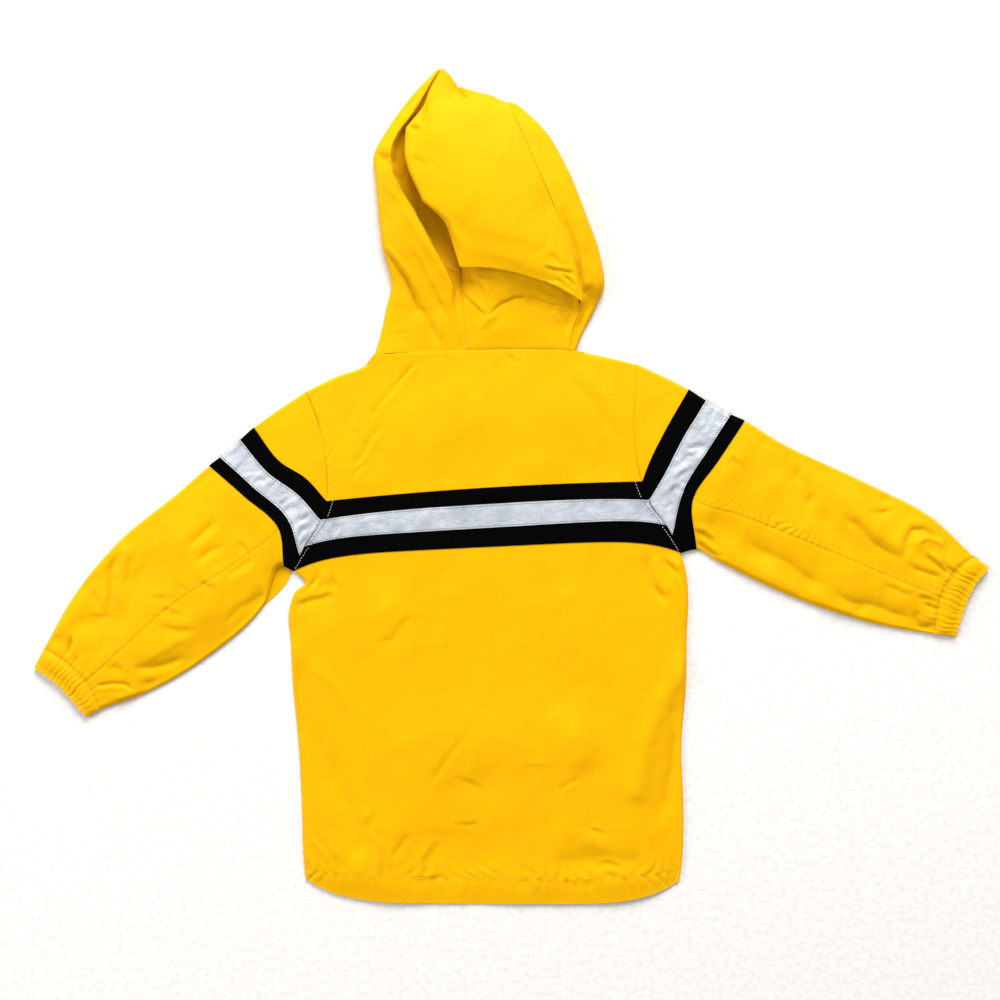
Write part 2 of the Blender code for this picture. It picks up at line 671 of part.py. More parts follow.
def make_sleeve(side, outline):
    """Both parts of a sleeve, split at its back seam, with its band and tape."""
    plan = sleeve_plan(side)
    top = upper_layer(plan, outline)
    front = []
    for line, above in zip(plan, top):
        outer = list(above[SEAM_COLUMN:0:-1])
        outer += wrapped(line)
        outer += [(x, y, 0.0) for x, y in line[1:]]
        front.append(outer)
    front = np.array(front)
    pull_edge(front, 0, SEAM_GAP)
    name = "sleeve_" + side
    sheet(name + "_front", front, WALL, yellow_cloth(name + "_front_cloth"), (0, -1))
    back = top[:, SEAM_COLUMN:]
    sheet(name + "_back", back, WALL, yellow_cloth(name + "_back_cloth"), (0, -1))
    rows = sleeve_numbers(side)
    ring = sleeve_ring(plan, top)
    band = slice(rows["band in"], rows["band out"] + 1)
    tape = slice(rows["tape in"], rows["tape out"] + 1)
    trim(name + "_band", ring[band], 0.0, black_trim(name + "_band_cloth"), (0,))
    over = SEAM_GAP + TRIM_WALL
    trim(name + "_tape", ring[tape], over, silver_tape(name + "_tape_cloth"), (0,))


def sleeve_ring(plan, top):
    """The sleeve's outer points that its trims lie on: its upper layer and its top fold."""
    ring = []
    for line, above in zip(plan, top):
        over, high, side, low, _ = wrapped(line)
        end = side * (1.0 - TRIM_WRAP_END) + low * TRIM_WRAP_END
        ring.append([*above[:0:-1], over, high, side, end])
    return np.array(ring)


def pull_edge(grid, column, distance):
    """Moves an edge column of a grid towards its neighbour, to open a seam."""
    neighbour = grid[:, column + 1] if column == 0 else grid[:, column - 1]
    inwards = neighbour - grid[:, column]
    grid[:, column] += inwards * distance / np.linalg.norm(inwards, axis=1)[:, None]


# ---------------------------------------------------------------- the cuffs


def cuff_rings(line):
    """The outer and the inner ring of a gathered cuff along one row of plan points."""
    top_count = CUFF_STEPS_PER_GATHER * CUFF_GATHERS
    lengths = np.linalg.norm(np.diff(line, axis=0), axis=1)
    places = np.concatenate([[0.0], np.cumsum(lengths)])
    total = places[-1]

    def at(distance):
        return [np.interp(distance, places, line[:, axis]) for axis in (0, 1)]

    outer = []
    inner = []
    for k in range(top_count + 1):
        share = k / top_count
        plan = at(CUFF_RADIUS + (total - 2 * CUFF_RADIUS) * share)
        wave = CUFF_GATHER_DEPTH * math.cos(2 * math.pi * CUFF_GATHERS * share)
        outer.append((*plan, CUFF_HEIGHT - CUFF_GATHER_DEPTH + wave))
        inner.append((*plan, CUFF_HEIGHT - 2 * CUFF_GATHER_DEPTH - WALL))
    add_cuff_side(outer, inner, at, total, 1.0)
    for k in range(1, CUFF_UNDER_STEPS):
        plan = at(total - CUFF_RADIUS - (total - 2 * CUFF_RADIUS) * k / CUFF_UNDER_STEPS)
        outer.append((*plan, 0.0))
        inner.append((*plan, WALL))
    add_cuff_side(outer, inner, at, total, -1.0)
    return outer, inner


def add_cuff_side(outer, inner, at, total, end):
    """The rounded side of a cuff, downwards at its far end and upwards at its near end."""
    top = CUFF_HEIGHT - 2 * CUFF_GATHER_DEPTH
    middle = 0.5 * top
    centre = total - CUFF_RADIUS if end > 0 else CUFF_RADIUS
    plan_centre = np.array(at(centre))
    plan_edge = np.array(at(total if end > 0 else 0.0))
    outwards = (plan_edge - plan_centre) / np.linalg.norm(plan_edge - plan_centre)
    for angle in CUFF_FAR_ANGLES if end > 0 else CUFF_NEAR_ANGLES:
        turn = math.radians(angle)
        reach = outwards * CUFF_RADIUS * math.cos(turn)
        plan = plan_centre + reach
        inner_plan = plan_centre + reach * (1 - WALL / CUFF_RADIUS)
        outer.append((*plan, middle + middle * math.sin(turn)))
        inner.append((*inner_plan, middle + (middle - WALL) * math.sin(turn)))


def make_cuff(side):
    """A gathered elastic cuff, from the end of the sleeve to its open edge."""
    near = smooth_path(sleeve_rows(side)[-1][1:5], ACROSS_STEPS)
    far = smooth_path(CUFF_OUT[side], ACROSS_STEPS)
    start = near + (far - near) * SEAM_GAP / np.linalg.norm(far - near, axis=1)[:, None]
    rings = [cuff_rings(line) for line in (start, 0.5 * (start + far), far)]
    outer = np.array([ring[0] for ring in rings])
    inner = np.array([ring[1] for ring in rings])
    name = "cuff_" + side
    ring_wall(name, outer, inner, yellow_cloth(name + "_cloth"))


# ---------------------------------------------------------------- the hood


def hood_sheet(name, grid, seam_columns):
    """A panel of the hood, its first row along the neck and a seam's gap from the body."""
    grid = np.array(grid)
    neck = body_plan(eased_shares(BODY_COLUMNS))[-1]
    grid[0, :, 1] = np.interp(grid[0, :, 0], neck[:, 0], neck[:, 1]) + SEAM_GAP
    sheet(name, grid, WALL, yellow_cloth(name + "_cloth"), seam_columns)


def hood_rail(side, names=None):
    """The left or right edge of the centre panel through its named rows, with its corners."""
    rows = [row for row in HOOD_CENTRE if names is None or row[0] in names]
    column = 1 if side == "left" else 2
    runs = []
    starts = [0] + [i for i, row in enumerate(rows) if row[0] in HOOD_CORNERS[side]]
    ends = starts[1:] + [len(rows) - 1]
    for start, end in zip(starts, ends):
        if end > start:
            points = [row[column] for row in rows[start:end + 1]]
            runs.append(smooth_path(points, [row[5] for row in rows[start:end]]))
    return joined(*runs)


def make_hood_centre():
    """The centre panel: nape, pocket under the slumped crown, lip and crown."""
    left = hood_rail("left")
    right = hood_rail("right")
    places = []
    count = 0
    for row in HOOD_CENTRE:
        places.append(count)
        count += row[5]
    grid_rows = np.arange(len(left))
    rises = np.interp(grid_rows, places, [row[3] for row in HOOD_CENTRE])
    leans = np.interp(grid_rows, places, [row[4] for row in HOOD_CENTRE])
    grid = []
    for i in grid_rows:
        line = []
        for k in range(HOOD_CENTRE_COLUMNS + 1):
            share = k / HOOD_CENTRE_COLUMNS
            arch = 1.0 - (2 * share - 1) ** 2
            point = left[i] * (1 - share) + right[i] * share
            line.append(point + np.array([0.0, leans[i] * arch, rises[i] * arch]))
        grid.append(line)
    hood_sheet("hood_centre", grid, (0, -1))


def hood_side_line(top_points, outline_point, under_x, across):
    """One row of a hood side: over its top, round the outline and back underneath."""
    steps = list(across) + [1]
    top = smooth_path(top_points, steps[:len(top_points) - 1])
    flank = top[-1]
    edge = np.array([outline_point[0], outline_point[1], HOOD_EDGE_HEIGHT])
    outwards = 1.0 if edge[0] > flank[0] else -1.0
    line = [tuple(point) for point in top]
    for angle in HOOD_FLANK_ANGLES:
        turn = math.radians(angle)
        x = edge[0] + (flank[0] - edge[0]) * (1 - math.cos(turn))
        y = edge[1] + (flank[1] - edge[1]) * (1 - math.cos(turn))
        line.append((x, y, edge[2] + (flank[2] - edge[2]) * math.sin(turn)))
    for angle in HOOD_UNDER_ANGLES:
        turn = math.radians(angle)
        x = edge[0] - outwards * edge[2] * (1 - math.cos(turn))
        line.append((x, edge[1], edge[2] * (1 - math.sin(turn))))
    turned_x = line[-1][0]
    for share in HOOD_UNDER_SHARES:
        line.append((turned_x * (1 - share) + under_x * share, edge[1], 0.0))
    return line


def make_hood_right():
    """The right side of the hood, from the centre panel's edge to the edge underneath."""
    names = [row[0] for row in HOOD_RIGHT]
    rail = hood_rail("right", names)
    steps = [row[5] for row in HOOD_CENTRE if row[0] in names][:-1]
    places = np.concatenate([[0], np.cumsum(steps)])
    table = np.array([[row[1], *row[2], *row[3], *row[4], row[5]] for row in HOOD_RIGHT])
    grid = []
    for i, seam in enumerate(rail):
        drop, mid_x, mid_z, flank_x, flank_z, edge_x, edge_y, under_x = (
            np.interp(i, places, column) for column in table.T
        )
        start = seam + np.array([SEAM_GAP, 0.0, -drop])
        mid = (mid_x, 0.5 * (seam[1] + edge_y), mid_z)
        flank = (flank_x, edge_y, flank_z)
        line = hood_side_line([start, mid, flank], (edge_x, edge_y), under_x, HOOD_RIGHT_ACROSS)
        grid.append(line)
    hood_sheet("hood_right", grid, (0,))


def hood_left_tuck():
    """The hidden inner edge of the left side: on the nape seam, then under the crown."""
    shared = [row[1] for row in HOOD_CENTRE[:SHARED_HOOD_ROWS]]
    shared_steps = [row[5] for row in HOOD_CENTRE[:SHARED_HOOD_ROWS - 1]]
    seam = smooth_path(shared, shared_steps) - np.array([SEAM_GAP, 0.0, 0.0])
    free = HOOD_LEFT[SHARED_HOOD_ROWS - 1:]
    points = [seam[-1]] + [row[1] for row in free[1:]]
    return joined(seam, smooth_path(points, [row[8] for row in free[:-1]]))


def make_hood_left():
    """The left side of the hood, with its crest beside the deep trough."""
    rail = hood_left_tuck()
    steps = [row[8] for row in HOOD_LEFT[:-1]]
    columns = []
    for column in (2, 3, 4, 5):
        columns.append(smooth_path([row[column] for row in HOOD_LEFT], steps))
    outline = smooth_path([row[6] for row in HOOD_LEFT], steps)
    places = np.concatenate([[0], np.cumsum(steps)])
    under = np.interp(np.arange(len(rail)), places, [row[7] for row in HOOD_LEFT])
    grid = []
    for i, tuck in enumerate(rail):
        edge = outline[i]
        points = [tuck]
        for path in columns:
            x, z = path[i]
            share = (x - tuck[0]) / (edge[0] - tuck[0])
            points.append((x, tuck[1] * (1 - share) + edge[1] * share, z))
        grid.append(hood_side_line(points, edge, under[i], HOOD_LEFT_ACROSS))
    hood_sheet("hood_left", grid, (0,))


# ---------------------------------------------------------------- the coat


def coat_outline():
    """The paths where the upper layer comes down to the lower one."""
    paths = []
    for side in ("left", "right"):
        paths.append(run_along(SIDES, side))
        paths.append(run_along(SHOULDERS[:3], side))
        plan = sleeve_plan(side)
        paths.append(plan[:, 0])
        paths.append(plan[sleeve_numbers(side)["pit"]:, -1])
    paths.append(body_plan(eased_shares(BODY_COLUMNS))[0])
    return paths


def clear_scene():
    """Empties the scene and makes the coat's collections."""
    for obj in list(bpy.data.objects):
        bpy.data.objects.remove(obj, do_unlink=True)
    for name in (COAT_NAME, CUTTERS_NAME):
        collection = bpy.data.collections.new(name)
        bpy.context.scene.collection.children.link(collection)


def main():
    """Builds every piece of the coat."""
    clear_scene()
    outline = coat_outline()
    make_back(outline)
    make_fronts()
    for side in ("left", "right"):
        make_sleeve(side, outline)
        make_cuff(side)
    make_hood_centre()
    make_hood_left()
    make_hood_right()


main()
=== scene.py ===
"""The looks of a child's hooded raincoat that lies flat on its front, back up.

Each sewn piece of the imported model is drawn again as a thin, fine shell on the same form, from
the same tables of sizes in millimetres, with the creases, puckers, gathers and stitching that a
rigid solid leaves out. x is to the right, y towards the hood and z up from the floor. Lengths
are in millimetres and angles in degrees, unless a name or a comment says otherwise.
"""

import math

import bpy
import numpy as np
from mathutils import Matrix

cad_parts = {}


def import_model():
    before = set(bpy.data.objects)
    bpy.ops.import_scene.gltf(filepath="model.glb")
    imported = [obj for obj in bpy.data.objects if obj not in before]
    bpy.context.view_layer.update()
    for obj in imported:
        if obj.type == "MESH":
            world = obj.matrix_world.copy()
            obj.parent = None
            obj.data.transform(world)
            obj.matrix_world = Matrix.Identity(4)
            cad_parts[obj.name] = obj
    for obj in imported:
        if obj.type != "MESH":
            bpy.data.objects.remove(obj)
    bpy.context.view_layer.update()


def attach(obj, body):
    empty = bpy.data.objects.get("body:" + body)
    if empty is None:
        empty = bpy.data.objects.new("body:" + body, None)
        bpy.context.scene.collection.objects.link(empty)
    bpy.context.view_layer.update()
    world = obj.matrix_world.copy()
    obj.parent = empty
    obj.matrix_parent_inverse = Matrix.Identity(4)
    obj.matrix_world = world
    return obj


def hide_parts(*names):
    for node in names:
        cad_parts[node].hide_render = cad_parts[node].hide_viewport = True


MM = 0.001

# The pixel of the photograph over the frame's origin, at 1 mm a pixel, and the pixel in its
# middle. The crease tables below give their points as pixels, x to the right and y down.
PHOTO_ORIGIN = np.array([511.5, 486.5])
PHOTO_CENTRE = (500.0, 500.0)

# Thickness of cloth and trims, and the gaps between pieces
SHELL = 0.7
TRIM_SHELL = 0.5
WALLS = {"yellow_cloth": SHELL, "black_trim": TRIM_SHELL, "silver_tape": TRIM_SHELL}
TRIM_LIFT = 0.15
SEAM_GAP = 0.05

# Heights of the laid-out layers
EDGE_HEIGHT = 1.6
LEAST_RISE = 0.2
FLAT_HEIGHT = 5.2
CAMBER = 1.4
CAMBER_REACH = 25.0
EDGE_ROUND = 5.5
CREASE_FREE_EDGE = 5.0
SLEEVE_PUFF = 3.0
SLEEVE_PUFF_REACH = 22.0
PUFF_CRUMPLE = 0.27
FOLD_HEIGHT = 2.6
FOLD_DEPTH = 5.0
FOLD_ANGLES = np.radians(np.linspace(80.0, -90.0, 12))

# Along the sleeves' table: where the puff begins and how soon it is full, and the stretch of
# the left underarm whose lower layer has slipped out, with how far
PUFF_START = 0.3
PUFF_LENGTH = 4.0
SLIP_START = 4.6
SLIP_LENGTH = 1.5
UNDERARM_SLIP = np.array([14.0, -5.0])

# Fineness
BODY_SPACING = 2.4
HEM_SPACING = 1.5
BODY_COLUMNS = 165
SIDE_EASING = 0.55
FRONT_COLUMNS = 12
FLAP_COLUMNS = 4
SLEEVE_SPACING = 1.8
BACK_SEAM = 50
SLEEVE_INNER_COLUMNS = 31
SLEEVE_UNDER_COLUMNS = [8, 14, 24, BACK_SEAM, 66, -1]
FIRST_COLUMN_PLACE = 0.13
UNDERARM_EASING = 1.3
BACK_SEAM_SHIFT = 0.02
HOOD_SPACING = 1.7
HOOD_COLUMNS = 100
HOOD_EASING = 0.3
SIDE_COLUMNS = 10
SHARP_ANGLE = math.radians(62.0)
TRIM_FOLD_COLUMNS = 8
OUTLINE_SPACING = 6.0
COARSE_COLUMNS = 30
COARSE_ROWS = 4
FINE_COLUMNS = 60

# Noise: cells of a table before it repeats, and a seed for each part
NOISE_CELLS = 64
BODY_SEED = 100
SLEEVE_SEED = 200
HOOD_SEED = 300
CUFF_SEEDS = {"left": 61, "right": 67}

# Stitching: its thread, how far the rows lie from the edges of their pieces, and how many rows
# of points, or places of the table, stay bare at their ends
STITCH_PITCH = 3.0
STITCH_LENGTH = 2.1
STITCH_RADIUS = 0.28
STITCH_CORNERS = 6
WHITE_STITCH_RADIUS = 0.2
WHITE_INSET_LOW = (1.0, 8.0)
WHITE_INSET_HIGH = 7.0
TAPE_INSET = 1.6
TAPE_END_INSET = 7.0
HEM_STITCH_LIFT = 0.05
NECK_INSET = 2.2
ARMHOLE_INSET = 4.0
BACK_SEAM_INSET = 2.4
HOOD_INSET = 3.0
CUFF_INSETS = (("first row", 1.5), ("last row", 3.0))
BARE_ROWS = 2
SLEEVE_BARE_ROWS = 3
RIGHT_HOOD_BARE_ROWS = 40
CROWN_BARE_PLACES = 1.2

# Rings of a stitch: place as a share of its length, share of its radius, and rise.
STITCH_RINGS = ((-0.5, 0.35, -0.10), (-0.25, 1.0, 0.10), (0.25, 1.0, 0.10), (0.5, 0.35, -0.10))

# Front closing
FLAP_WIDTH = 44.0
FLAP_LINE_X = (-19.0, -37.0)
FLAP_LINE_Y = (-393.0, 134.0)

# Colours
YELLOW_LIGHT = (0.68, 0.352, 0.0008)
YELLOW_DEEP = (0.67, 0.332, 0.0008)
BLACK_DEEP = (0.0006, 0.0006, 0.0008)
BLACK_LIGHT = (0.001, 0.001, 0.0012)
LINT = (0.03, 0.03, 0.034)
SILVER_DEEP = (0.34, 0.365, 0.395)
SILVER_LIGHT = (0.48, 0.505, 0.545)
YELLOW_THREAD = (0.95, 0.52, 0.003)
WHITE_THREAD = (0.75, 0.75, 0.75)
GREY_THREAD = (0.07, 0.07, 0.08)
FLOOR_DEEP = (0.61, 0.59, 0.57)
FLOOR_LIGHT = (0.69, 0.67, 0.65)

# Lights, with place and size in metres and power in watts, the fill, and the camera in metres
WINDOW_LIGHT = ((0.45, 3.3, 2.25), 2.1, 252.0)
SIDE_LIGHT = ((-3.2, 0.7, 1.7), 1.6, 74.0)
DAYLIGHT = (1.0, 0.99, 0.97)
FILL_COLOUR = (0.97, 0.98, 1.0, 1.0)
FILL_STRENGTH = 0.72
FLOOR_REACH = 6000.0
CAMERA_HEIGHT = 1.7
FRAME_WIDTH = 1.0
SENSOR_WIDTH = 36.0

# ---------------- the coat's own sizes

# Rows of the armholes, from the armpit up: name, left x, left y, right x, right y.
ARMHOLE = (
    ("armpit", -217.5, -84.5, 168.5, -66.0),
    ("tape low", -207.5, -60.5, 155.5, -39.0),
    ("tape high", -190.5, -33.5, 137.0, -13.5),
    ("band high", -184.5, -14.5, 130.0, 5.0),
    ("yoke", -184.5, 24.5, 122.5, 51.5),
    ("cap", -192.5, 62.5, 123.5, 85.5),
    ("shoulder", -205.5, 94.5, 126.0, 121.5),
)
ARMPIT, SHOULDER = 0, 6

# Sides and shoulders of the body, with the same columns.
SIDES = (
    ("hem", -205.5, -391.5, 167.5, -393.5),
    ("hem stitch", -206.5, -383.0, 169.0, -384.0),
    ("skirt", -209.5, -313.5, 171.5, -313.5),
    ("low waist", -212.0, -262.5, 169.5, -262.5),
    ("waist", -218.5, -193.5, 174.5, -193.5),
    ("ribs", -220.5, -153.5, 175.0, -150.0),
    ("under", -222.0, -123.5, 176.4, -108.0),
    ("notch", -215.2, -104.5, 174.5, -87.0),
    ("tuck", -205.5, -96.5, 171.8, -75.5),
    ARMHOLE[ARMPIT],
)
SHOULDERS = (
    ARMHOLE[SHOULDER],
    ("shoulder mid", -177.5, 108.5, 94.5, 129.0),
    ("neck side", -145.5, 121.5, 73.5, 133.5),
    ("neck", -137.0, 131.9, 62.5, 136.0),
)

# Names of the body's rows from the hem to the neck.
BODY_ROWS = [row[0] for row in SIDES[:-1] + ARMHOLE[:-1] + SHOULDERS]

# How far the middle of a body row lies above the line between its ends, and the bow's power.
# The other rows are straight.
STRAIGHT = (0.0, 2.0)
BOWS = {
    "hem": (-24.0, 5.5),
    "hem stitch": (-8.0, 4.0),
    "under": (1.0, 4.0),
    "notch": (5.0, 5.0),
    "tuck": (9.0, 6.0),
    "armpit": (15.0, 6.0),
    "tape low": (8.5, 7.0),
    "tape high": (5.7, 3.0),
    "band high": (3.5, 2.0),
    "neck side": (1.0, 2.0),
    "neck": (2.0, 2.0),
}

# Sleeves, from the shoulder down: name, then x and y of the top edge, the crown, the back seam
# and the underarm edge. Down to the pit the underarm point runs along the armhole instead, and
# the table gives its place there: 3 at the band's upper edge and 0 at the armpit.
SLEEVE = {
    "left": (
        ("armhole", (-205.5, 94.5), (-192.5, 62.5), (-184.5, 24.5), 3.0),
        ("band in", (-256.9, 58.5), (-230.5, 24.5), (-205.5, 8.5), 3.0),
        ("tape in", (-270.5, 46.5), (-243.5, 14.5), (-211.5, -9.5), 2.0),
        ("tape out", (-290.5, 29.0), (-257.5, -0.5), (-221.5, -34.5), 0.667),
        ("pit", (-296.5, 24.5), (-262.5, -5.0), (-227.5, -37.5), 0.0),
        ("band out", (-301.5, 20.5), (-266.5, -9.5), (-231.5, -42.5), (-227.0, -79.5)),
        ("upper", (-331.5, -5.5), (-299.5, -43.5), (-275.5, -76.5), (-247.5, -118.5)),
        ("elbow", (-392.5, -55.5), (-366.5, -90.5), (-343.5, -122.0), (-307.5, -172.5)),
        ("fore", (-437.5, -110.5), (-415.5, -138.5), (-391.5, -165.5), (-369.0, -207.5)),
        ("cuff in", (-466.5, -161.5), (-445.5, -173.5), (-423.5, -194.5), (-410.5, -222.5)),
    ),
    "right": (
        ("armhole", (126.0, 121.5), (123.5, 85.5), (122.5, 51.5), 3.0),
        ("band in", (176.5, 96.5), (152.5, 54.5), (137.5, 24.5), 3.0),
        ("tape in", (193.5, 85.5), (169.5, 45.5), (152.5, 12.5), 2.0),
        ("tape out", (218.5, 71.5), (195.5, 36.5), (171.0, -4.5), 0.667),
        ("pit", (225.5, 68.5), (201.5, 31.5), (176.0, -10.5), 0.0),
        ("band out", (232.5, 65.5), (206.5, 26.5), (180.5, -13.5), (184.5, -62.5)),
        ("upper", (263.5, 46.5), (245.5, 4.5), (226.5, -28.5), (204.5, -73.5)),
        ("elbow", (355.5, 2.5), (328.5, -38.5), (308.5, -61.0), (279.5, -109.5)),
        ("fore", (419.5, -31.5), (398.5, -63.5), (373.5, -88.5), (356.5, -135.5)),
        ("cuff in", (460.5, -69.5), (439.5, -85.5), (426.5, -110.5), (421.5, -147.5)),
    ),
}
BAND_IN, TAPE_IN, TAPE_OUT, PIT, BAND_OUT = range(1, 6)
CUFF_OUT = {
    "left": ((-476.5, -180.5), (-455.5, -195.5), (-436.5, -215.5), (-423.5, -230.5)),
    "right": ((476.5, -80.5), (462.5, -98.5), (452.5, -119.5), (443.0, -150.5)),
}

# Centre panel of the hood along the cloth: left and right point, and how far the middle lies
# above (z) and towards the peak (y) of the line between them.
HOOD_CENTRE = (
    ("neck", (-43.2, 136.3, 6.4), (57.0, 136.7, 6.4), 0.0, 0.0),
    ("nape", (-45.0, 156.5, 8.2), (59.5, 153.5, 7.6), 1.2, 0.0),
    ("crest", (-48.0, 178.5, 9.0), (66.5, 174.5, 8.5), 1.5, 0.0),
    ("floor", (-50.2, 192.5, 7.0), (67.5, 180.5, 9.0), 5.5, 0.0),
    ("deep", (-50.2, 224.5, 7.0), (60.5, 200.5, 14.0), 10.5, 4.0),
    ("bend", (-50.2, 235.5, 10.0), (58.5, 211.5, 16.0), 9.5, 4.0),
    ("over", (-50.2, 227.5, 19.5), (63.5, 200.5, 17.8), 5.4, 5.0),
    ("lip low", (-50.8, 217.4, 22.4), (68.4, 184.0, 19.4), 4.0, 9.6),
    ("lip", (-51.0, 216.6, 23.4), (69.0, 183.2, 20.4), 4.0, 9.6),
    ("brow", (-57.5, 236.5, 25.6), (66.0, 201.5, 22.6), 5.5, 4.0),
    ("crown low", (-66.0, 260.5, 27.0), (59.5, 231.5, 24.5), 6.2, 0.0),
    ("crown mid", (-88.0, 281.5, 26.8), (45.5, 268.5, 25.0), 6.5, 0.0),
    ("crown high", (-105.5, 326.5, 24.5), (23.5, 319.5, 24.0), 4.5, 0.0),
    ("brim low", (-104.8, 355.5, 21.0), (10.0, 351.5, 19.5), 3.5, 0.0),
    ("brim mid", (-87.5, 377.5, 15.5), (1.0, 373.5, 13.5), 2.5, 0.0),
    ("brim", (-82.5, 393.5, 11.5), (-0.5, 380.5, 9.5), 2.0, -3.0),
    ("peak", (-70.5, 418.0, 4.5), (-1.0, 383.7, 4.0), 1.0, -5.0),
)
CREST, FLOOR, BEND, LIP_LOW, LIP, CROWN_MID, BRIM_LOW, BRIM_MID = 2, 3, 5, 7, 8, 11, 13, 14

# Rows of the centre panel at which its left and right edges and the left edge's height turn
# sharply.
LEFT_CORNERS = (CREST, FLOOR, LIP_LOW, LIP, CROWN_MID, BRIM_LOW, BRIM_MID)
HEIGHT_CORNERS = (CREST, FLOOR, LIP_LOW, LIP)
RIGHT_CORNERS = (CREST, LIP_LOW, LIP)

# How far the line where the nape turns down into the pocket wanders towards the peak, by x, and
# with what share on each of the first rows.
NAPE_WAVE_X = (-48.0, -38.0, -24.5, -11.0, 3.0, 18.0, 37.0, 66.0)
NAPE_WAVE_Y = (12.0, 3.0, -11.0, 1.0, 8.0, 9.0, 1.0, -2.0)
NAPE_WAVE_SHARE = (0.0, 0.35, 1.0, 0.8, 0.0)

# Width in mm of the crown's left edge that turns down, by row of the centre panel.
EDGE_ROLL_ROW = (8.0, 8.5, 9.0, 10.0, 10.7, 11.4, 12.0, 12.5, 13.0, 13.5, 14.0, 16.0)
EDGE_ROLL = (2.0, 5.0, 9.0, 9.0, 4.0, 3.5, 6.0, 17.0, 19.0, 14.0, 5.0, 3.5)

# How far the brim rises above the line from the peak to its right end, by share of its width,
# and how much of that the last rows have.
BRIM_SHARE = (0.0, 0.12, 0.25, 0.42, 0.7, 1.0)
BRIM_RISE = (0.0, -0.5, -7.3, -2.5, 2.0, 0.0)
BRIM_RISE_SHARE = (0.0, 0.6, 1.0)

# Depth in mm to which the crown's left edge turns down, and the depth of the valley at the neck's
# seam with its reach in rows of the table.
EDGE_ROLL_DEPTH = 5.0
NECK_VALLEY = 0.7
NECK_VALLEY_REACH = 0.075

# Depth and reach in mm of the valleys at the side seams, on the crown and on the nape, the rows
# over which the crown's begins, and the least height of the panel.
CROWN_VALLEY = (0.9, 1.6)
NAPE_VALLEY = (0.1, 1.2)
CROWN_START = 1.5
LEAST_HOOD_HEIGHT = 1.0

# How soon the nape's line and the creases are full, from the sides of the panel on, and the
# height below which a side panel has no creases.
WAVE_GAIN = 4.0
CREASE_GAIN = 5.0
HIDDEN_HEIGHT = 1.5

# Right side of the hood: how far its edge lies below the centre panel's, x and z of two points
# across it, x and y of the outline, and x of the edge underneath.
HOOD_RIGHT = (
    ("neck", 0.0, (59.0, 6.2), (61.0, 5.8), (64.0, 136.8), -11.5),
    ("nape", 0.0, (62.3, 6.6), (65.5, 6.0), (71.0, 153.5), -11.5),
    ("crest", 0.0, (70.5, 8.5), (75.5, 7.5), (82.0, 174.5), -11.5),
    ("lip", 2.0, (74.0, 10.0), (79.5, 8.5), (86.0, 183.0), -11.5),
    ("brow", 6.0, (74.5, 17.0), (84.5, 15.5), (92.5, 199.5), -11.5),
    ("crown low", 4.0, (69.5, 20.5), (80.5, 18.0), (88.0, 232.5), -11.5),
    ("crown mid", 0.0, (56.0, 23.0), (68.0, 19.5), (75.5, 268.5), -11.5),
    ("crown high", 0.0, (34.0, 22.5), (46.5, 18.5), (54.5, 319.5), -11.5),
    ("brim low", 0.0, (19.5, 18.5), (30.5, 15.0), (37.5, 349.5), -16.0),
    ("brim mid", 0.0, (4.5, 12.3), (9.0, 10.0), (17.0, 371.5), -20.0),
    ("brim", 0.0, (1.0, 8.5), (4.0, 7.2), (8.5, 379.0), -20.0),
    ("peak", 0.0, (-0.4, 4.4), (0.6, 3.9), (2.4, 383.0), -6.0),
)

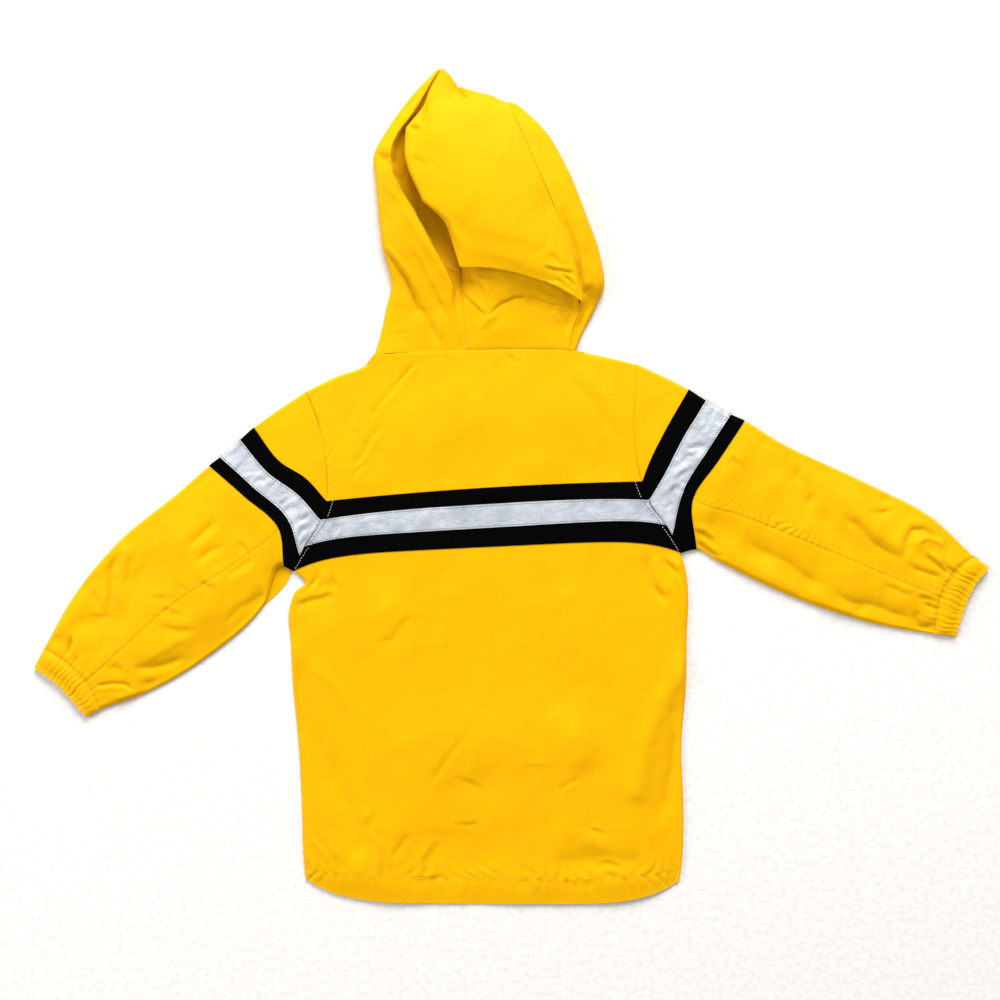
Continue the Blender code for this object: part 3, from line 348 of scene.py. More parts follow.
# Left side of the hood: its hidden end, or None where it is sewn to the centre panel, x and z of
# the trough, crest, fold and flank, x and y of the outline, and x of the edge underneath.
HOOD_LEFT = (
    ("neck", None, (-52.5, 6.8), (-63.5, 7.2), (-79.5, 6.6), (-116.5, 6.5), (-136.5, 132.3), -41.5),
    ("nape", None, (-52.5, 8.8), (-61.0, 9.8), (-83.5, 8.2), (-110.0, 7.2), (-129.5, 156.5), -41.5),
    ("crest", None, (-54.0, 9.4), (-60.5, 12.0), (-94.5, 10.2), (-110.5, 8.2), (-125.0, 178.5), -41.5),
    ("floor", None, (-54.0, 7.0), (-58.5, 15.0), (-99.5, 12.8), (-113.5, 10.2), (-120.1, 199.5), -41.5),
    ("notch", (-51.0, 218.5, 5.0), (-63.5, 5.0), (-68.5, 19.5), (-107.5, 16.0), (-117.0, 12.5),
     (-123.0, 218.5), -41.5),
    ("lower", (-51.6, 236.5, 3.0), (-73.0, 3.0), (-78.5, 23.0), (-112.5, 19.0), (-123.0, 15.0),
     (-128.2, 236.5), -45.0),
    ("middle", (-53.5, 260.5, 3.0), (-85.0, 2.5), (-91.0, 25.0), (-116.5, 21.0), (-126.5, 16.0),
     (-131.5, 260.5), -50.0),
    ("upper", (-71.5, 284.5, 3.0), (-98.5, 2.2), (-105.0, 25.5), (-119.5, 21.5), (-128.5, 16.0),
     (-133.7, 284.5), -55.0),
    ("bend", (-83.5, 308.5, 3.0), (-111.0, 2.5), (-118.5, 24.5), (-124.5, 20.5), (-131.0, 15.5),
     (-135.7, 308.5), -60.0),
    ("corner", (-89.5, 329.5, 5.0), (-113.5, 5.0), (-120.5, 22.5), (-127.5, 17.0), (-132.5, 13.0),
     (-137.5, 329.5), -65.0),
    ("slope", (-89.5, 351.5, 5.0), (-108.0, 4.5), (-113.5, 18.5), (-118.5, 16.0), (-122.5, 12.5),
     (-127.5, 349.5), -70.0),
    ("high", (-79.5, 371.5, 5.5), (-93.0, 5.0), (-97.5, 16.0), (-104.5, 14.5), (-109.0, 11.0),
     (-113.9, 370.5), -72.0),
    ("tip", (-73.5, 391.5, 4.5), (-83.2, 4.5), (-86.5, 11.5), (-90.5, 10.5), (-94.0, 8.3),
     (-98.0, 391.5), -70.0),
    ("end", (-73.0, 406.5, 4.0), (-76.5, 4.0), (-78.0, 7.4), (-79.7, 7.0), (-81.5, 6.0),
     (-84.0, 406.5), -68.0),
    ("peak", (-71.2, 415.5, 4.4), (-71.8, 4.8), (-72.4, 5.0), (-73.0, 4.8), (-73.8, 4.5),
     (-75.0, 415.5), -69.0),
)

# The side panels: rows they share with the centre panel, columns between the curves of their
# upper layer, the turn of their edge above and below its middle, places underneath, the heights
# of their edge's middle and of the trough's floor, and the step down at the right seam.
SHARED_HOOD_ROWS = 4
LEFT_HOOD_STEPS = (18, 7, 16, 7)
RIGHT_HOOD_STEPS = (10, 8)
HOOD_UPPER_ANGLES = np.radians(np.linspace(80.0, 0.0, 9))
HOOD_LOWER_ANGLES = np.radians(np.linspace(15.0, 90.0, 6))
HOOD_UNDER_SHARES = (0.2, 0.5, 0.8, 1.0)
HOOD_EDGE_HEIGHT = 2.6
TROUGH_FLOOR = 1.2
SEAM_STEP = 0.3

# Fine rows that are drawn onto the neck's seam, and fine columns over which the creases fade at
# the seam with the centre panel and at the outline.
NECK_ROWS = 5
SEAM_FADE_COLUMNS = 5
EDGE_FADE_COLUMNS = 8

# ---------------- creases, placed one by one

# Broad swells and hollows: name, half width and height in mm, and the line's points in the
# photograph. A swell is felt as far as SWELL_REACH of its half widths.
SWELL_REACH = 3.0
BODY_SWELLS = (
    ("left dark band", 12.0, -2.8, ((296, 675), (312, 735), (330, 775), (348, 808), (358, 845))),
    ("left light band", 9.0, 1.5, ((304, 742), (314, 780), (326, 815), (336, 850))),
    ("right light band", 11.0, 3.4, ((684, 668), (658, 705), (644, 745), (636, 790))),
    ("right dark", 8.0, -1.4, ((677, 712), (672, 770), (660, 812))),
    ("centre left", 8.0, 1.1, ((448, 597), (441, 667), (457, 697), (476, 740), (471, 772))),
    ("centre right", 9.0, 1.3, ((562, 597), (567, 642), (576, 685), (582, 722), (580, 757))),
    ("centre fall", 34.0, 3.6, ((425, 744), (500, 738), (580, 742))),
    ("low centre", 34.0, -2.4, ((430, 858), (500, 855), (570, 858))),
    ("hem bump", 9.0, 1.8, ((588, 838), (602, 844))),
    ("hem dip", 9.0, -1.6, ((566, 862), (600, 860), (632, 862))),
    ("right of centre", 16.0, -1.2, ((606, 690), (612, 730), (600, 770))),
    ("left panel", 26.0, 1.2, ((400, 600), (388, 680), (380, 740))),
    ("yoke", 40.0, 1.6, ((430, 420), (500, 415), (580, 412))),
)
LEFT_SLEEVE_SWELLS = (
    ("by the band", 14.0, 2.0, ((238, 496), (262, 520), (276, 556))),
    ("under the elbow", 10.0, -2.2, ((262, 602), (246, 618), (234, 632))),
    ("forearm hollow", 13.0, -2.8, ((80, 622), (96, 622), (112, 618))),
    ("top facet", 13.0, 2.0, ((100, 566), (116, 554))),
    ("upper side", 16.0, -1.2, ((170, 520), (150, 552), (140, 580))),
    ("lower side", 13.0, 1.4, ((206, 612), (180, 636), (150, 650))),
    ("wrist", 9.0, 1.6, ((86, 600), (72, 618), (60, 630))),
)
RIGHT_SLEEVE_SWELLS = (
    ("by the band", 14.0, 1.6, ((744, 440), (722, 478), (706, 512))),
    ("upper hollow", 11.0, -1.5, ((786, 468), (796, 490), (806, 508))),
    ("middle hollow", 12.0, -1.6, ((826, 522), (856, 548), (892, 574))),
    ("upper light", 14.0, 1.8, ((850, 500), (880, 530), (905, 545))),
    ("lower hollow", 12.0, -2.0, ((716, 524), (740, 538), (764, 552))),
    ("lower edge", 9.0, 1.8, ((740, 562), (790, 588), (840, 610), (900, 628))),
)

SLEEVE_SWELLS = {"left": LEFT_SLEEVE_SWELLS, "right": RIGHT_SLEEVE_SWELLS}

# The section of a crease, in its half widths: widths of its steep and soft side, how round its
# tip is and how soon it falls off, the place and width of its lip, how far it is felt, how long
# its ends taper, and how it wanders off its line.
CREASE_SIDES = (1.1, 2.0)
CREASE_ROUNDING = 0.02
CREASE_FALL = 1.8
RIM_PLACE = 1.7
RIM_WIDTH = 1.1
CREASE_REACH = 6.0
CREASE_TAPER = 4.0
WOBBLE_DEPTH = 0.10
WOBBLE_LENGTH = 1.1
CREASE_STRENGTH = 1.2

# Name, half width and height in mm (below zero for a trough), height of the lip on the left of
# the line as it runs, and the line's points in the photograph.
BODY_CREASES = (
    ("neck to shoulder", 2.6, -1.2, 0.7, ((417, 361), (398, 384), (381, 403), (370, 420))),
    ("shoulder blade", 2.8, -1.3, 0.7, ((382, 424), (369, 442), (361, 458), (351, 468))),
    ("shoulder blade low", 2.4, -0.9, 0.5, ((370, 459), (359, 470), (350, 482))),
    ("yoke crinkle", 3.0, -0.8, 0.5, ((354, 405), (350, 425), (357, 440))),
    ("neck crinkle", 2.4, -0.8, 0.4, ((504, 352), (511, 359), (518, 366))),
    ("shoulder right", 7.0, -0.9, 0.5, ((560, 372), (596, 404), (622, 446))),
    ("yoke middle", 9.0, -0.7, 0.3, ((470, 372), (462, 420), (474, 468))),
    ("left pit fold", 2.8, -2.0, 0.8, ((293, 606), (312, 600), (337, 594))),
    ("left pit inner", 2.8, -1.7, 0.8, ((318, 567), (317, 578), (307, 591))),
    ("left pit outer", 3.2, -2.0, 0.8, ((332, 571), (335, 584), (337, 594))),
    ("left pit rim", 3.0, 1.5, 0.0, ((325, 569), (328, 580), (331, 590))),
    ("right pit fold", 4.5, -2.6, 1.3, ((649, 551), (648, 566), (652, 586), (671, 605))),
    ("right pit sharp", 2.8, -1.9, 1.2, ((661, 557), (670, 566), (680, 577))),
    ("right pit rim", 3.0, 1.4, -0.4, ((672, 558), (684, 566), (688, 582))),
    ("left flank fold", 4.0, -1.0, 0.4, ((375, 641), (392, 640), (403, 624), (416, 611))),
    ("left light ridge", 6.0, 1.0, 0.0, ((305, 658), (330, 682), (357, 715))),
    ("left upper ridge", 6.0, 1.0, 0.0, ((385, 590), (388, 610), (390, 628))),
    ("ridge shade", 5.0, -0.9, 0.0, ((556, 600), (562, 650), (570, 690), (574, 730))),
    ("small of back", 2.6, -1.6, 0.7, ((466, 734), (455, 748), (445, 761), (431, 783))),
    ("small of back low", 2.4, -0.6, 0.3, ((454, 776), (470, 782), (488, 790))),
    ("small of back right", 2.2, -1.2, 0.6, ((583, 775), (570, 782), (556, 791))),
    ("low dash", 2.2, -0.7, 0.4, ((452, 823), (466, 824), (481, 822))),
    ("centre edge", 6.0, 0.8, 0.0, ((514, 760), (538, 761), (562, 759))),
    ("right dark line", 3.6, -1.4, 0.0, ((675, 728), (671, 770), (666, 800), (672, 816))),
    ("flap edge", 2.4, 0.6, 0.0, ((527, 778), (530, 830), (531, 888))),
    ("right upright", 3.0, 0.7, 0.0, ((583, 788), (584, 808), (583, 830))),
    ("left upright", 3.0, 0.6, 0.0, ((395, 762), (397, 780), (397, 800))),
    ("hem stretch 1", 3.4, 1.7, -0.5, ((372, 806), (368, 815), (365, 826))),
    ("hem stretch 2", 3.4, 1.7, -0.8, ((370, 826), (378, 845), (380, 874))),
    ("hem stretch 3", 3.0, -1.4, 0.6, ((412, 831), (401, 845), (390, 863))),
    ("hem stretch 4", 2.6, -1.2, 0.6, ((398, 859), (392, 868), (385, 878))),
    ("hem stretch 5", 3.8, 1.5, -0.6, ((437, 835), (422, 856), (416, 879))),
    ("hem stretch 6", 3.0, 1.1, -0.4, ((309, 834), (319, 847), (328, 860))),
    ("hem stretch 7", 3.0, 1.1, -0.4, ((330, 839), (334, 849), (338, 860))),
    ("hem dash left", 2.4, -1.1, 0.5, ((411, 881), (428, 879), (447, 875))),
    ("hem dash right", 2.4, -1.0, 0.5, ((558, 882), (580, 883), (602, 881))),
    ("hem bump line", 2.6, -1.0, 0.6, ((586, 827), (596, 830), (605, 836))),
    ("hem wrinkle", 2.4, -1.0, 0.5, ((596, 864), (608, 862), (622, 868))),
    ("hem wrinkle low", 2.4, -0.9, 0.5, ((600, 876), (612, 873), (622, 880))),
)
LEFT_SLEEVE_CREASES = (
    ("upper 1", 5.0, -2.2, 0.8, ((218, 512), (213, 525), (198, 538), (186, 551))),
    ("upper 2", 4.5, -2.0, 0.8, ((228, 545), (210, 552), (193, 564))),
    ("upper 3", 3.0, -1.2, 0.6, ((236, 541), (244, 546), (249, 557))),
    ("upper 4", 4.0, -1.4, 0.5, ((258, 556), (240, 568), (222, 580))),
    ("elbow 1", 3.0, -1.1, 0.6, ((197, 579), (211, 587), (223, 590))),
    ("elbow 2", 2.8, -0.8, 0.4, ((176, 581), (184, 588), (191, 592))),
    ("elbow 3", 2.2, -0.9, 0.6, ((160, 606), (172, 611), (186, 616))),
    ("elbow 4", 3.8, -1.6, 0.7, ((157, 622), (175, 630), (200, 630))),
    ("elbow 5", 3.4, -1.1, 0.5, ((150, 597), (162, 598), (176, 600))),
    ("lower ridge", 5.0, 1.2, 0.0, ((199, 635), (177, 642), (153, 657), (139, 661))),
    ("under seam", 4.6, -2.2, 0.8, ((191, 655), (173, 662), (152, 667), (129, 668))),
    ("elbow facet", 6.0, -1.7, 0.0, ((275, 589), (240, 607), (229, 621), (227, 635))),
    ("top ridge", 3.6, 1.9, 0.0, ((119, 540), (126, 552), (128, 566), (126, 582))),
    ("top notch", 4.6, -2.6, 0.8, ((120, 550), (112, 570), (112, 595), (113, 614))),
    ("top soft", 4.0, -1.2, 0.4, ((136, 547), (132, 562), (129, 578))),
    ("top shade", 4.6, -2.2, 0.6, ((92, 585), (98, 600), (100, 613))),
    ("shade edge", 2.6, -0.6, 0.3, ((86, 615), (100, 617), (114, 616))),
    ("cuff crease", 2.6, -3.0, 1.2, ((72, 633), (72, 644), (67, 658))),
    ("cuff hollow", 6.0, -1.2, 0.0, ((60, 637), (66, 640), (69, 644))),
    ("cuff crease 2", 3.0, -1.4, 0.7, ((82, 650), (77, 661), (79, 672))),
    ("cuff facet", 4.0, -1.3, 0.5, ((103, 668), (118, 667), (130, 676))),
    ("puff line", 2.2, -2.4, 1.0, ((136, 690), (126, 683), (110, 683), (96, 686))),
    ("puff", 7.5, 2.0, 0.0, ((103, 694), (130, 698), (150, 692))),
    ("below puff", 4.0, -1.2, 0.5, ((141, 680), (150, 682), (160, 681))),
)
RIGHT_SLEEVE_CREASES = (
    ("upper deep", 4.6, -2.4, 0.8, ((798, 462), (797, 475), (800, 488))),
    ("upper deep 2", 4.6, -1.9, 0.7, ((811, 490), (810, 500), (806, 510))),
    ("below band", 2.6, -1.0, 0.8, ((728, 466), (732, 460), (742, 470))),
    ("long edge", 5.5, -1.9, 1.1, ((836, 513), (854, 524), (868, 540), (886, 552), (904, 563))),
    ("long edge 2", 4.2, -1.8, 1.0, ((902, 562), (918, 571), (932, 575), (947, 578))),
    ("top dark", 3.2, -1.7, 0.5, ((866, 512), (880, 513), (895, 510))),
    ("top dark 2", 5.0, -1.2, 0.4, ((874, 500), (884, 499), (896, 504))),
    ("puff arc", 4.0, -2.4, 0.6, ((903, 561), (904, 541), (911, 530), (921, 529), (939, 541))),
    ("puff rim", 3.6, 2.0, 0.0, ((917, 554), (917, 542), (926, 537), (937, 542), (945, 552))),
    ("puff line", 2.6, -3.0, 1.3, ((922, 553), (931, 561), (950, 576))),
    ("puff line 2", 2.4, -2.5, 1.1, ((939, 556), (945, 566), (951, 575))),
    ("bump ring", 3.4, -2.6, 0.0, ((918, 607), (915, 617), (919, 626), (928, 627), (933, 618))),
    ("bump", 6.0, 0.9, 0.0, ((923, 615), (927, 617))),
    ("bump line", 2.4, -2.0, 1.1, ((914, 595), (925, 598), (937, 603))),
    ("bump line 2", 2.4, -2.3, 1.0, ((919, 602), (928, 605), (937, 612))),
    ("seam shade", 3.0, -1.3, 0.5, ((879, 583), (900, 592), (913, 597))),
    ("long low", 7.5, -2.4, 0.0, ((738, 540), (765, 552), (784, 562), (808, 578), (832, 592))),
    ("long low 2", 6.5, -2.6, 0.0, ((826, 589), (850, 602), (866, 604), (884, 609), (915, 621))),
    ("long low 3", 4.5, -1.5, 0.4, ((850, 606), (858, 609), (868, 607))),
    ("pit curl", 2.8, -3.0, 1.7, ((696, 540), (706, 550), (719, 560))),
    ("pit curl 2", 2.6, -2.0, 1.3, ((691, 529), (703, 534), (715, 544))),
    ("top edge", 3.0, -1.5, 0.6, ((765, 434), (768, 437), (773, 442))),
)
SLEEVE_CREASES = {"left": LEFT_SLEEVE_CREASES, "right": RIGHT_SLEEVE_CREASES}
TAPE_CREASES = (
    ("back 1", 2.0, -0.8, 0.5, ((329, 522), (326, 529), (330, 537))),
    ("back 2", 2.2, -1.1, 0.7, ((341, 524), (335, 532), (329, 541))),
    ("back 3", 2.0, -0.7, 0.4, ((317, 533), (322, 538), (329, 541))),
    ("back 4", 3.0, -0.5, 0.3, ((372, 520), (386, 526), (396, 522))),
    ("back 5", 2.4, -0.6, 0.4, ((596, 512), (604, 505), (612, 503))),
    ("back 6", 2.4, -0.7, 0.4, ((642, 508), (648, 516), (656, 520))),
    ("left 1", 2.4, -0.9, 0.5, ((240, 476), (249, 473), (254, 466))),
    ("left 2", 2.2, -1.3, 0.8, ((252, 487), (260, 480), (270, 481))),
    ("left 3", 3.0, -1.6, 1.0, ((266, 497), (270, 488), (281, 482))),
    ("left 4", 2.0, -1.2, 0.7, ((276, 505), (286, 503), (293, 496))),
    ("left 5", 3.0, -1.5, 1.0, ((285, 517), (291, 508), (303, 507))),
    ("left 6", 2.0, -1.2, 0.7, ((296, 516), (304, 519), (313, 513))),
    ("left 7", 2.6, -1.6, 1.0, ((299, 540), (303, 530), (316, 527))),
    ("left 8", 2.0, -1.2, 0.6, ((300, 548), (308, 538), (311, 531))),
    ("right 1", 2.6, -1.2, 0.8, ((686, 452), (696, 446), (706, 446))),
    ("right 2", 2.4, -1.3, 0.8, ((678, 466), (687, 456), (698, 456))),
    ("right 3", 2.2, -1.3, 0.8, ((674, 480), (684, 472), (692, 470))),
    ("right 4", 2.4, -1.2, 0.7, ((667, 494), (674, 488), (684, 488))),
    ("right 5", 2.4, -1.3, 0.8, ((662, 510), (670, 504), (676, 505))),
)
NAPE_CREASES = (
    ("left drag", 5.0, -1.0, 0.6, ((470, 300), (480, 322), (482, 344))),
    ("nape curl", 4.0, 0.9, -0.5, ((502, 305), (492, 318), (480, 328), (477, 340))),
    ("nape drag", 3.5, -0.8, 0.5, ((556, 318), (565, 328), (571, 342))),
    ("right fold", 4.0, 1.3, -1.2, ((555, 306), (555, 314), (561, 324), (569, 337), (574, 349))),
    ("right facet", 5.0, -1.8, 0.0, ((568, 312), (571, 326), (575, 340))),
    ("pocket 1", 3.4, -1.6, 1.1, ((466, 276), (480, 289), (486, 303))),
    ("v left", 1.8, -1.4, 0.6, ((458, 291), (472, 304), (486, 318))),
    ("v right", 1.8, -1.4, 0.0, ((488, 318), (500, 306), (514, 300), (528, 298))),
    ("v far", 1.8, -1.0, 0.0, ((527, 298), (549, 306), (568, 308))),
    ("pocket 2", 4.0, -1.0, 0.8, ((488, 276), (500, 286), (512, 290))),
    ("pocket 3", 4.0, -0.9, 0.6, ((530, 283), (548, 294), (566, 299))),
)
CROWN_SWELLS = (
    ("crown", 26.0, 1.4, ((450, 140), (478, 185), (500, 235))),
    ("brim band", 9.0, -1.4, ((470, 96), (505, 103), (534, 120), (552, 146))),
    ("seam hollow", 10.0, -1.2, ((545, 200), (554, 230), (562, 256))),
)
CROWN_CREASES = (
    ("peak notch", 2.2, -2.4, 1.6, ((456, 84), (461, 94), (468, 104))),
    ("left tuck", 2.6, -2.4, 0.5, ((404, 128), (413, 131), (424, 137))),
    ("left tuck up", 2.6, -2.8, 1.6, ((434, 90), (425, 99), (426, 114), (424, 133))),
    ("left faint", 3.5, -0.9, 0.5, ((411, 158), (419, 166), (427, 174))),
    ("left faint 2", 3.5, -0.7, 0.4, ((430, 160), (432, 168), (436, 176))),
    ("lower facet", 5.0, 1.2, -1.0, ((446, 222), (456, 238), (462, 256))),
    ("right soft", 4.0, -0.6, 0.4, ((548, 240), (541, 252), (533, 262))),
    ("pinch", 1.8, -1.5, 0.8, ((542, 270), (552, 273), (566, 275), (577, 276))),
    ("pinch high", 3.0, -0.9, 0.5, ((543, 256), (556, 263), (566, 274))),
    ("pinch knot", 1.6, -1.8, 1.0, ((562, 277), (570, 284), (576, 291))),
    ("pinch rim", 3.2, 1.4, 0.0, ((563, 279), (571, 289), (580, 304))),
    ("pinch low", 2.2, -1.2, 0.6, ((552, 279), (560, 287), (569, 300))),
    ("seam drag", 6.0, -0.7, 0.4, ((548, 196), (545, 222), (553, 246))),
)
HOOD_LEFT_CREASES = (
    ("wedge", 2.6, -2.6, 1.4, ((383, 250), (396, 265), (407, 281), (422, 318))),
    ("soft band", 4.0, -1.4, 0.8, ((398, 268), (416, 296), (440, 348))),
    ("streak", 2.6, -0.9, 0.6, ((411, 250), (430, 286), (446, 318))),
    ("streak low", 2.4, -0.8, 0.5, ((386, 290), (396, 312), (404, 346))),
    ("light ridge", 4.5, 1.2, 0.0, ((386, 182), (414, 230), (451, 286))),
    ("corner crease", 5.0, -2.6, 0.9, ((372, 155), (384, 160), (399, 168))),
    ("trough crinkle", 3.0, -2.0, 1.5, ((424, 206), (434, 222), (439, 238))),
    ("trough crinkle 2", 3.0, -1.8, 1.4, ((417, 212), (432, 230), (448, 246))),
    ("trough crinkle 3", 3.0, -1.6, 1.2, ((432, 238), (444, 252), (458, 262))),
    ("trough crinkle 4", 3.0, -1.6, 1.2, ((404, 182), (412, 196), (416, 206))),
    ("trough crinkle 5", 2.6, -1.4, 1.0, ((444, 266), (452, 274), (460, 280))),
    ("neck drag", 4.0, -1.0, 0.6, ((440, 296), (450, 322), (456, 348))),
    ("neck drag 2", 3.5, -0.9, 0.5, ((424, 300), (433, 318), (436, 340))),
    ("slope shade", 4.0, -1.1, 0.4, ((400, 122), (412, 104), (428, 84))),
    ("flank dent", 6.0, -0.8, 0.3, ((381, 205), (388, 225), (392, 246))),
)
HOOD_RIGHT_CREASES = (
    ("trough", 6.5, -2.4, 0.0, ((560, 205), (567, 232), (572, 262), (574, 276))),
    ("trough rim", 5.0, 1.4, 0.0, ((574, 205), (583, 235), (585, 262))),
    ("pinch wall", 2.6, -2.4, 1.0, ((577, 262), (575, 275), (577, 288))),
    ("upper shade", 5.0, -0.9, 0.4, ((532, 130), (546, 160), (560, 192))),
    ("edge drag", 4.0, -1.2, 0.8, ((575, 292), (584, 294), (596, 288))),
    ("lower edge", 3.5, -1.2, 0.6, ((589, 300), (583, 318), (577, 336))),
)
HOOD_SIDES = {
    "left": (HOOD_LEFT_CREASES, LEFT_HOOD_STEPS),
    "right": (HOOD_RIGHT_CREASES, RIGHT_HOOD_STEPS),
}

# Facets of the stiff tape: height in mm, size in mm and seed, and their strength on the back's
# tape and on the sleeves', which lie less flat.
TAPE_FACETS = ((0.7, 12.0, 71), (0.5, 5.0, 73))
BACK_TAPE_CRINKLE = 0.45
SLEEVE_TAPE_CRINKLE = 1.3

# Depth and reach in mm of the valley at a seam, and of those that differ from the others.
PLAIN_SEAM_VALLEY = (0.45, 1.0)
SEAM_VALLEYS = {"hem": (0.3, 1.0), "hem edge": (3.0, 14.0)}

# Puckers along the seams: name of the seam, side (1 on the left as the seam runs, -1 on the
# right), reach, wavelength and height in mm.
PUCKERS = (
    ("hem", 1, 16.0, 15.0, 1.3),
    ("hem", -1, 12.0, 11.0, 1.5),
    ("left armhole", -1, 8.0, 8.0, 0.9),
    ("right armhole", 1, 7.0, 9.0, 0.2),
    ("left back seam", -1, 9.0, 7.5, 0.45),
    ("right back seam", 1, 12.0, 8.0, 0.75),
    ("neck", -1, 7.0, 14.0, 0.3),
)

# How uneven the puckers are: strength, spacing in mm and seed of the noise that slants them,
# shifts them along the seam and makes them higher or lower, with their mean height and its limits.
PUCKER_NOISE = ((1.5, 35.0, 45), (3.2, 22.0, 41), (0.9, 30.0, 43))
PUCKER_STRENGTH = 0.55
PUCKER_LIMITS = (0.3, 1.4)

# Where a pucker is highest and how far it is felt, as shares of its reach, how sharp its valleys
# are, and how much of its height lies below the cloth.
PUCKER_PEAK = 0.35
PUCKER_SPREAD = 0.5
PUCKER_ROUNDNESS = 0.7
PUCKER_MEAN = 1.2

# Unevenness of the cloth, soft and in flat facets between straight creases: wavelength across
# and along, turn in degrees, height in mm, and its strength on the hood.
UNEVENNESS = (
    (70.0, 95.0, -20.0, 1.0),
    (34.0, 70.0, 15.0, 0.35),
    (7.0, 13.0, 40.0, 0.05),
)
FACETS = (
    (46.0, 70.0, 24.0, 1.2),
    (22.0, 34.0, -32.0, 0.5),
    (11.0, 17.0, 15.0, 0.12),
)
HOOD_CRUMPLE = 1.1

# How far the facets are bent off their grid, in cells, and over what length, in facets.
FACET_WARP = 0.4
FACET_WARP_LENGTH = 1.8
FACET_WARP_SEEDS = (11, 12)

# Thin ridges that wander over the cloth: height, spacing, sharpness, stretch, shift and seed of
# their pattern.
RIDGE_HEIGHT = 0.3
RIDGE_SPACING = 26.0
RIDGE_SHARPNESS = 2.6
RIDGE_SEED = 50
RIDGE_STRETCH = (1.0, 0.6)
RIDGE_SHIFT = 90.0

# Gathers of the cuffs: share of the width and depth in mm, as uneven as the elastic pulls them.
CUFF_GATHERS = {
    "left": (
        (0.10, 0.3), (0.17, 0.6), (0.25, 0.8), (0.32, 1.1), (0.38, 0.7), (0.44, 1.0), (0.50, 0.8),
        (0.56, 1.0), (0.63, 1.8), (0.69, 0.5), (0.76, 0.7), (0.83, 1.0), (0.91, 0.7),
    ),
    "right": (
        (0.10, 0.5), (0.20, 1.1), (0.27, 1.5), (0.33, 1.1), (0.42, 1.0), (0.47, 1.5), (0.53, 1.0),
        (0.60, 1.2), (0.67, 0.8), (0.71, 1.1), (0.79, 1.0), (0.85, 1.1), (0.91, 0.9), (0.96, 1.0),
    ),
}

# Those gathers on the sleeve: how they widen by mm from the cuff, how many spots of noise vary
# their reach, the least and the greatest reach, and the bare margin at the outline.
GATHER_SPREAD = 0.06
GATHER_SPOTS = 9.0
GATHER_REACH = (5.0, 12.0)
GATHER_FREE_EDGE = 6.0

# The cuffs' own form: the share of their height where they are sewn, how much more of it they
# have in the middle and at the free end, and where their gathers begin and the seam's dip ends,
# as shares of their length.
CUFF_HEIGHT = 7.6
CUFF_PINCH = 0.62
CUFF_MIDDLE_RISE = 0.38
CUFF_END_RISE = 0.18
CUFF_GATHER_START = 0.25
CUFF_SEWN_REACH = 0.10
CUFF_GATHER_SPREAD = 0.4
CUFF_EDGE_POWER = 7

# How the middle's rise is spread along a cuff, how the gathers wander across it, and how much
# closer together its columns lie at the folds.
CUFF_RISE_SPREAD = 1.25
CUFF_RISE_POWER = 0.8
CUFF_DRIFT = 0.010
CUFF_DRIFT_WAVES = (7.0, 9.0)
CUFF_EASING = 0.6
CUFF_EASING_POWER = 0.15

# Width of a gather's valley and height of the bulges between, and depth and reach of the dip in
# the sleeve beside the cuff.
CUFF_VALLEY_WIDTH = 0.75
CUFF_BULGE = 0.35
CUFF_JOIN_DEPTH = 1.3
CUFF_JOIN_REACH = 1.6

# The cuffs' fineness, how far they flare with their gathers, the gap to the sleeve as a share of
# their length, and the columns at their folds without stitches.
CUFF_ROWS = 15
CUFF_AROUND = 260
CUFF_FLARE = 0.6
CUFF_GAP_SHARE = 0.004
CUFF_END_COLUMNS = 4

# ---------------- curves, noise and distances


def evaluate(points, places):
    """Points on a smooth curve through the given ones; place 1.5 is halfway from 1 to 2."""
    points = np.asarray(points, dtype=float)
    chords = np.diff(points, axis=0)
    lengths = np.maximum(np.linalg.norm(chords, axis=-1, keepdims=True), 1e-9)
    slopes = chords / lengths
    tangents = np.concatenate([slopes[:1], slopes[:-1], slopes[-1:]])
    weights = lengths[1:] + lengths[:-1]
    tangents[1:-1] = (slopes[:-1] * lengths[1:] + slopes[1:] * lengths[:-1]) / weights
    places = np.asarray(places, dtype=float)
    start = np.clip(places.astype(int), 0, len(points) - 2)
    t = (places - start).reshape((-1,) + (1,) * (points.ndim - 1))
    lengths = lengths[start]
    value = points[start] * (1 + 2 * t) * (1 - t) ** 2
    value = value + points[start + 1] * t * t * (3 - 2 * t)
    value = value + tangents[start] * lengths * t * (1 - t) ** 2
    return value + tangents[start + 1] * lengths * t * t * (t - 1)


def places_along(rails, spacing):
    """Places along several curves' common table, close enough for the given spacing."""
    longest = 0.0
    for rail in rails:
        rail = np.asarray(rail, dtype=float)
        longest = np.maximum(longest, np.linalg.norm(np.diff(rail, axis=0), axis=1))
    places = [0.0]
    for start, length in enumerate(longest):
        count = max(1, math.ceil(length / spacing))
        places.extend(start + k / count for k in range(1, count + 1))
    return np.array(places)


def row_at(places, place):
    """The first fine row at a place along a table, or past it."""
    return int(np.searchsorted(places, place))


def table_column(rows, index):
    """One column of a table, or several side by side."""
    return np.array([row[index] for row in rows], dtype=float)


def lengths_along(line):
    """The length from the start of a line to each of its points."""
    steps = np.linalg.norm(np.diff(line, axis=0), axis=1)
    return np.concatenate([[0.0], np.cumsum(steps)])


def unit(vectors):
    """Vectors of length 1 in the same directions."""
    return vectors / np.linalg.norm(vectors, axis=-1, keepdims=True)


def at_lengths(line, values, wanted):
    """Values that are given at a line's points, at other lengths along it."""
    lengths = lengths_along(line)
    return np.stack([np.interp(wanted, lengths, part) for part in values.T], axis=-1)


def smooth_step(value):
    """0 below 0, 1 above 1 and a soft rise between."""
    t = np.clip(value, 0.0, 1.0)
    return t * t * (3 - 2 * t)


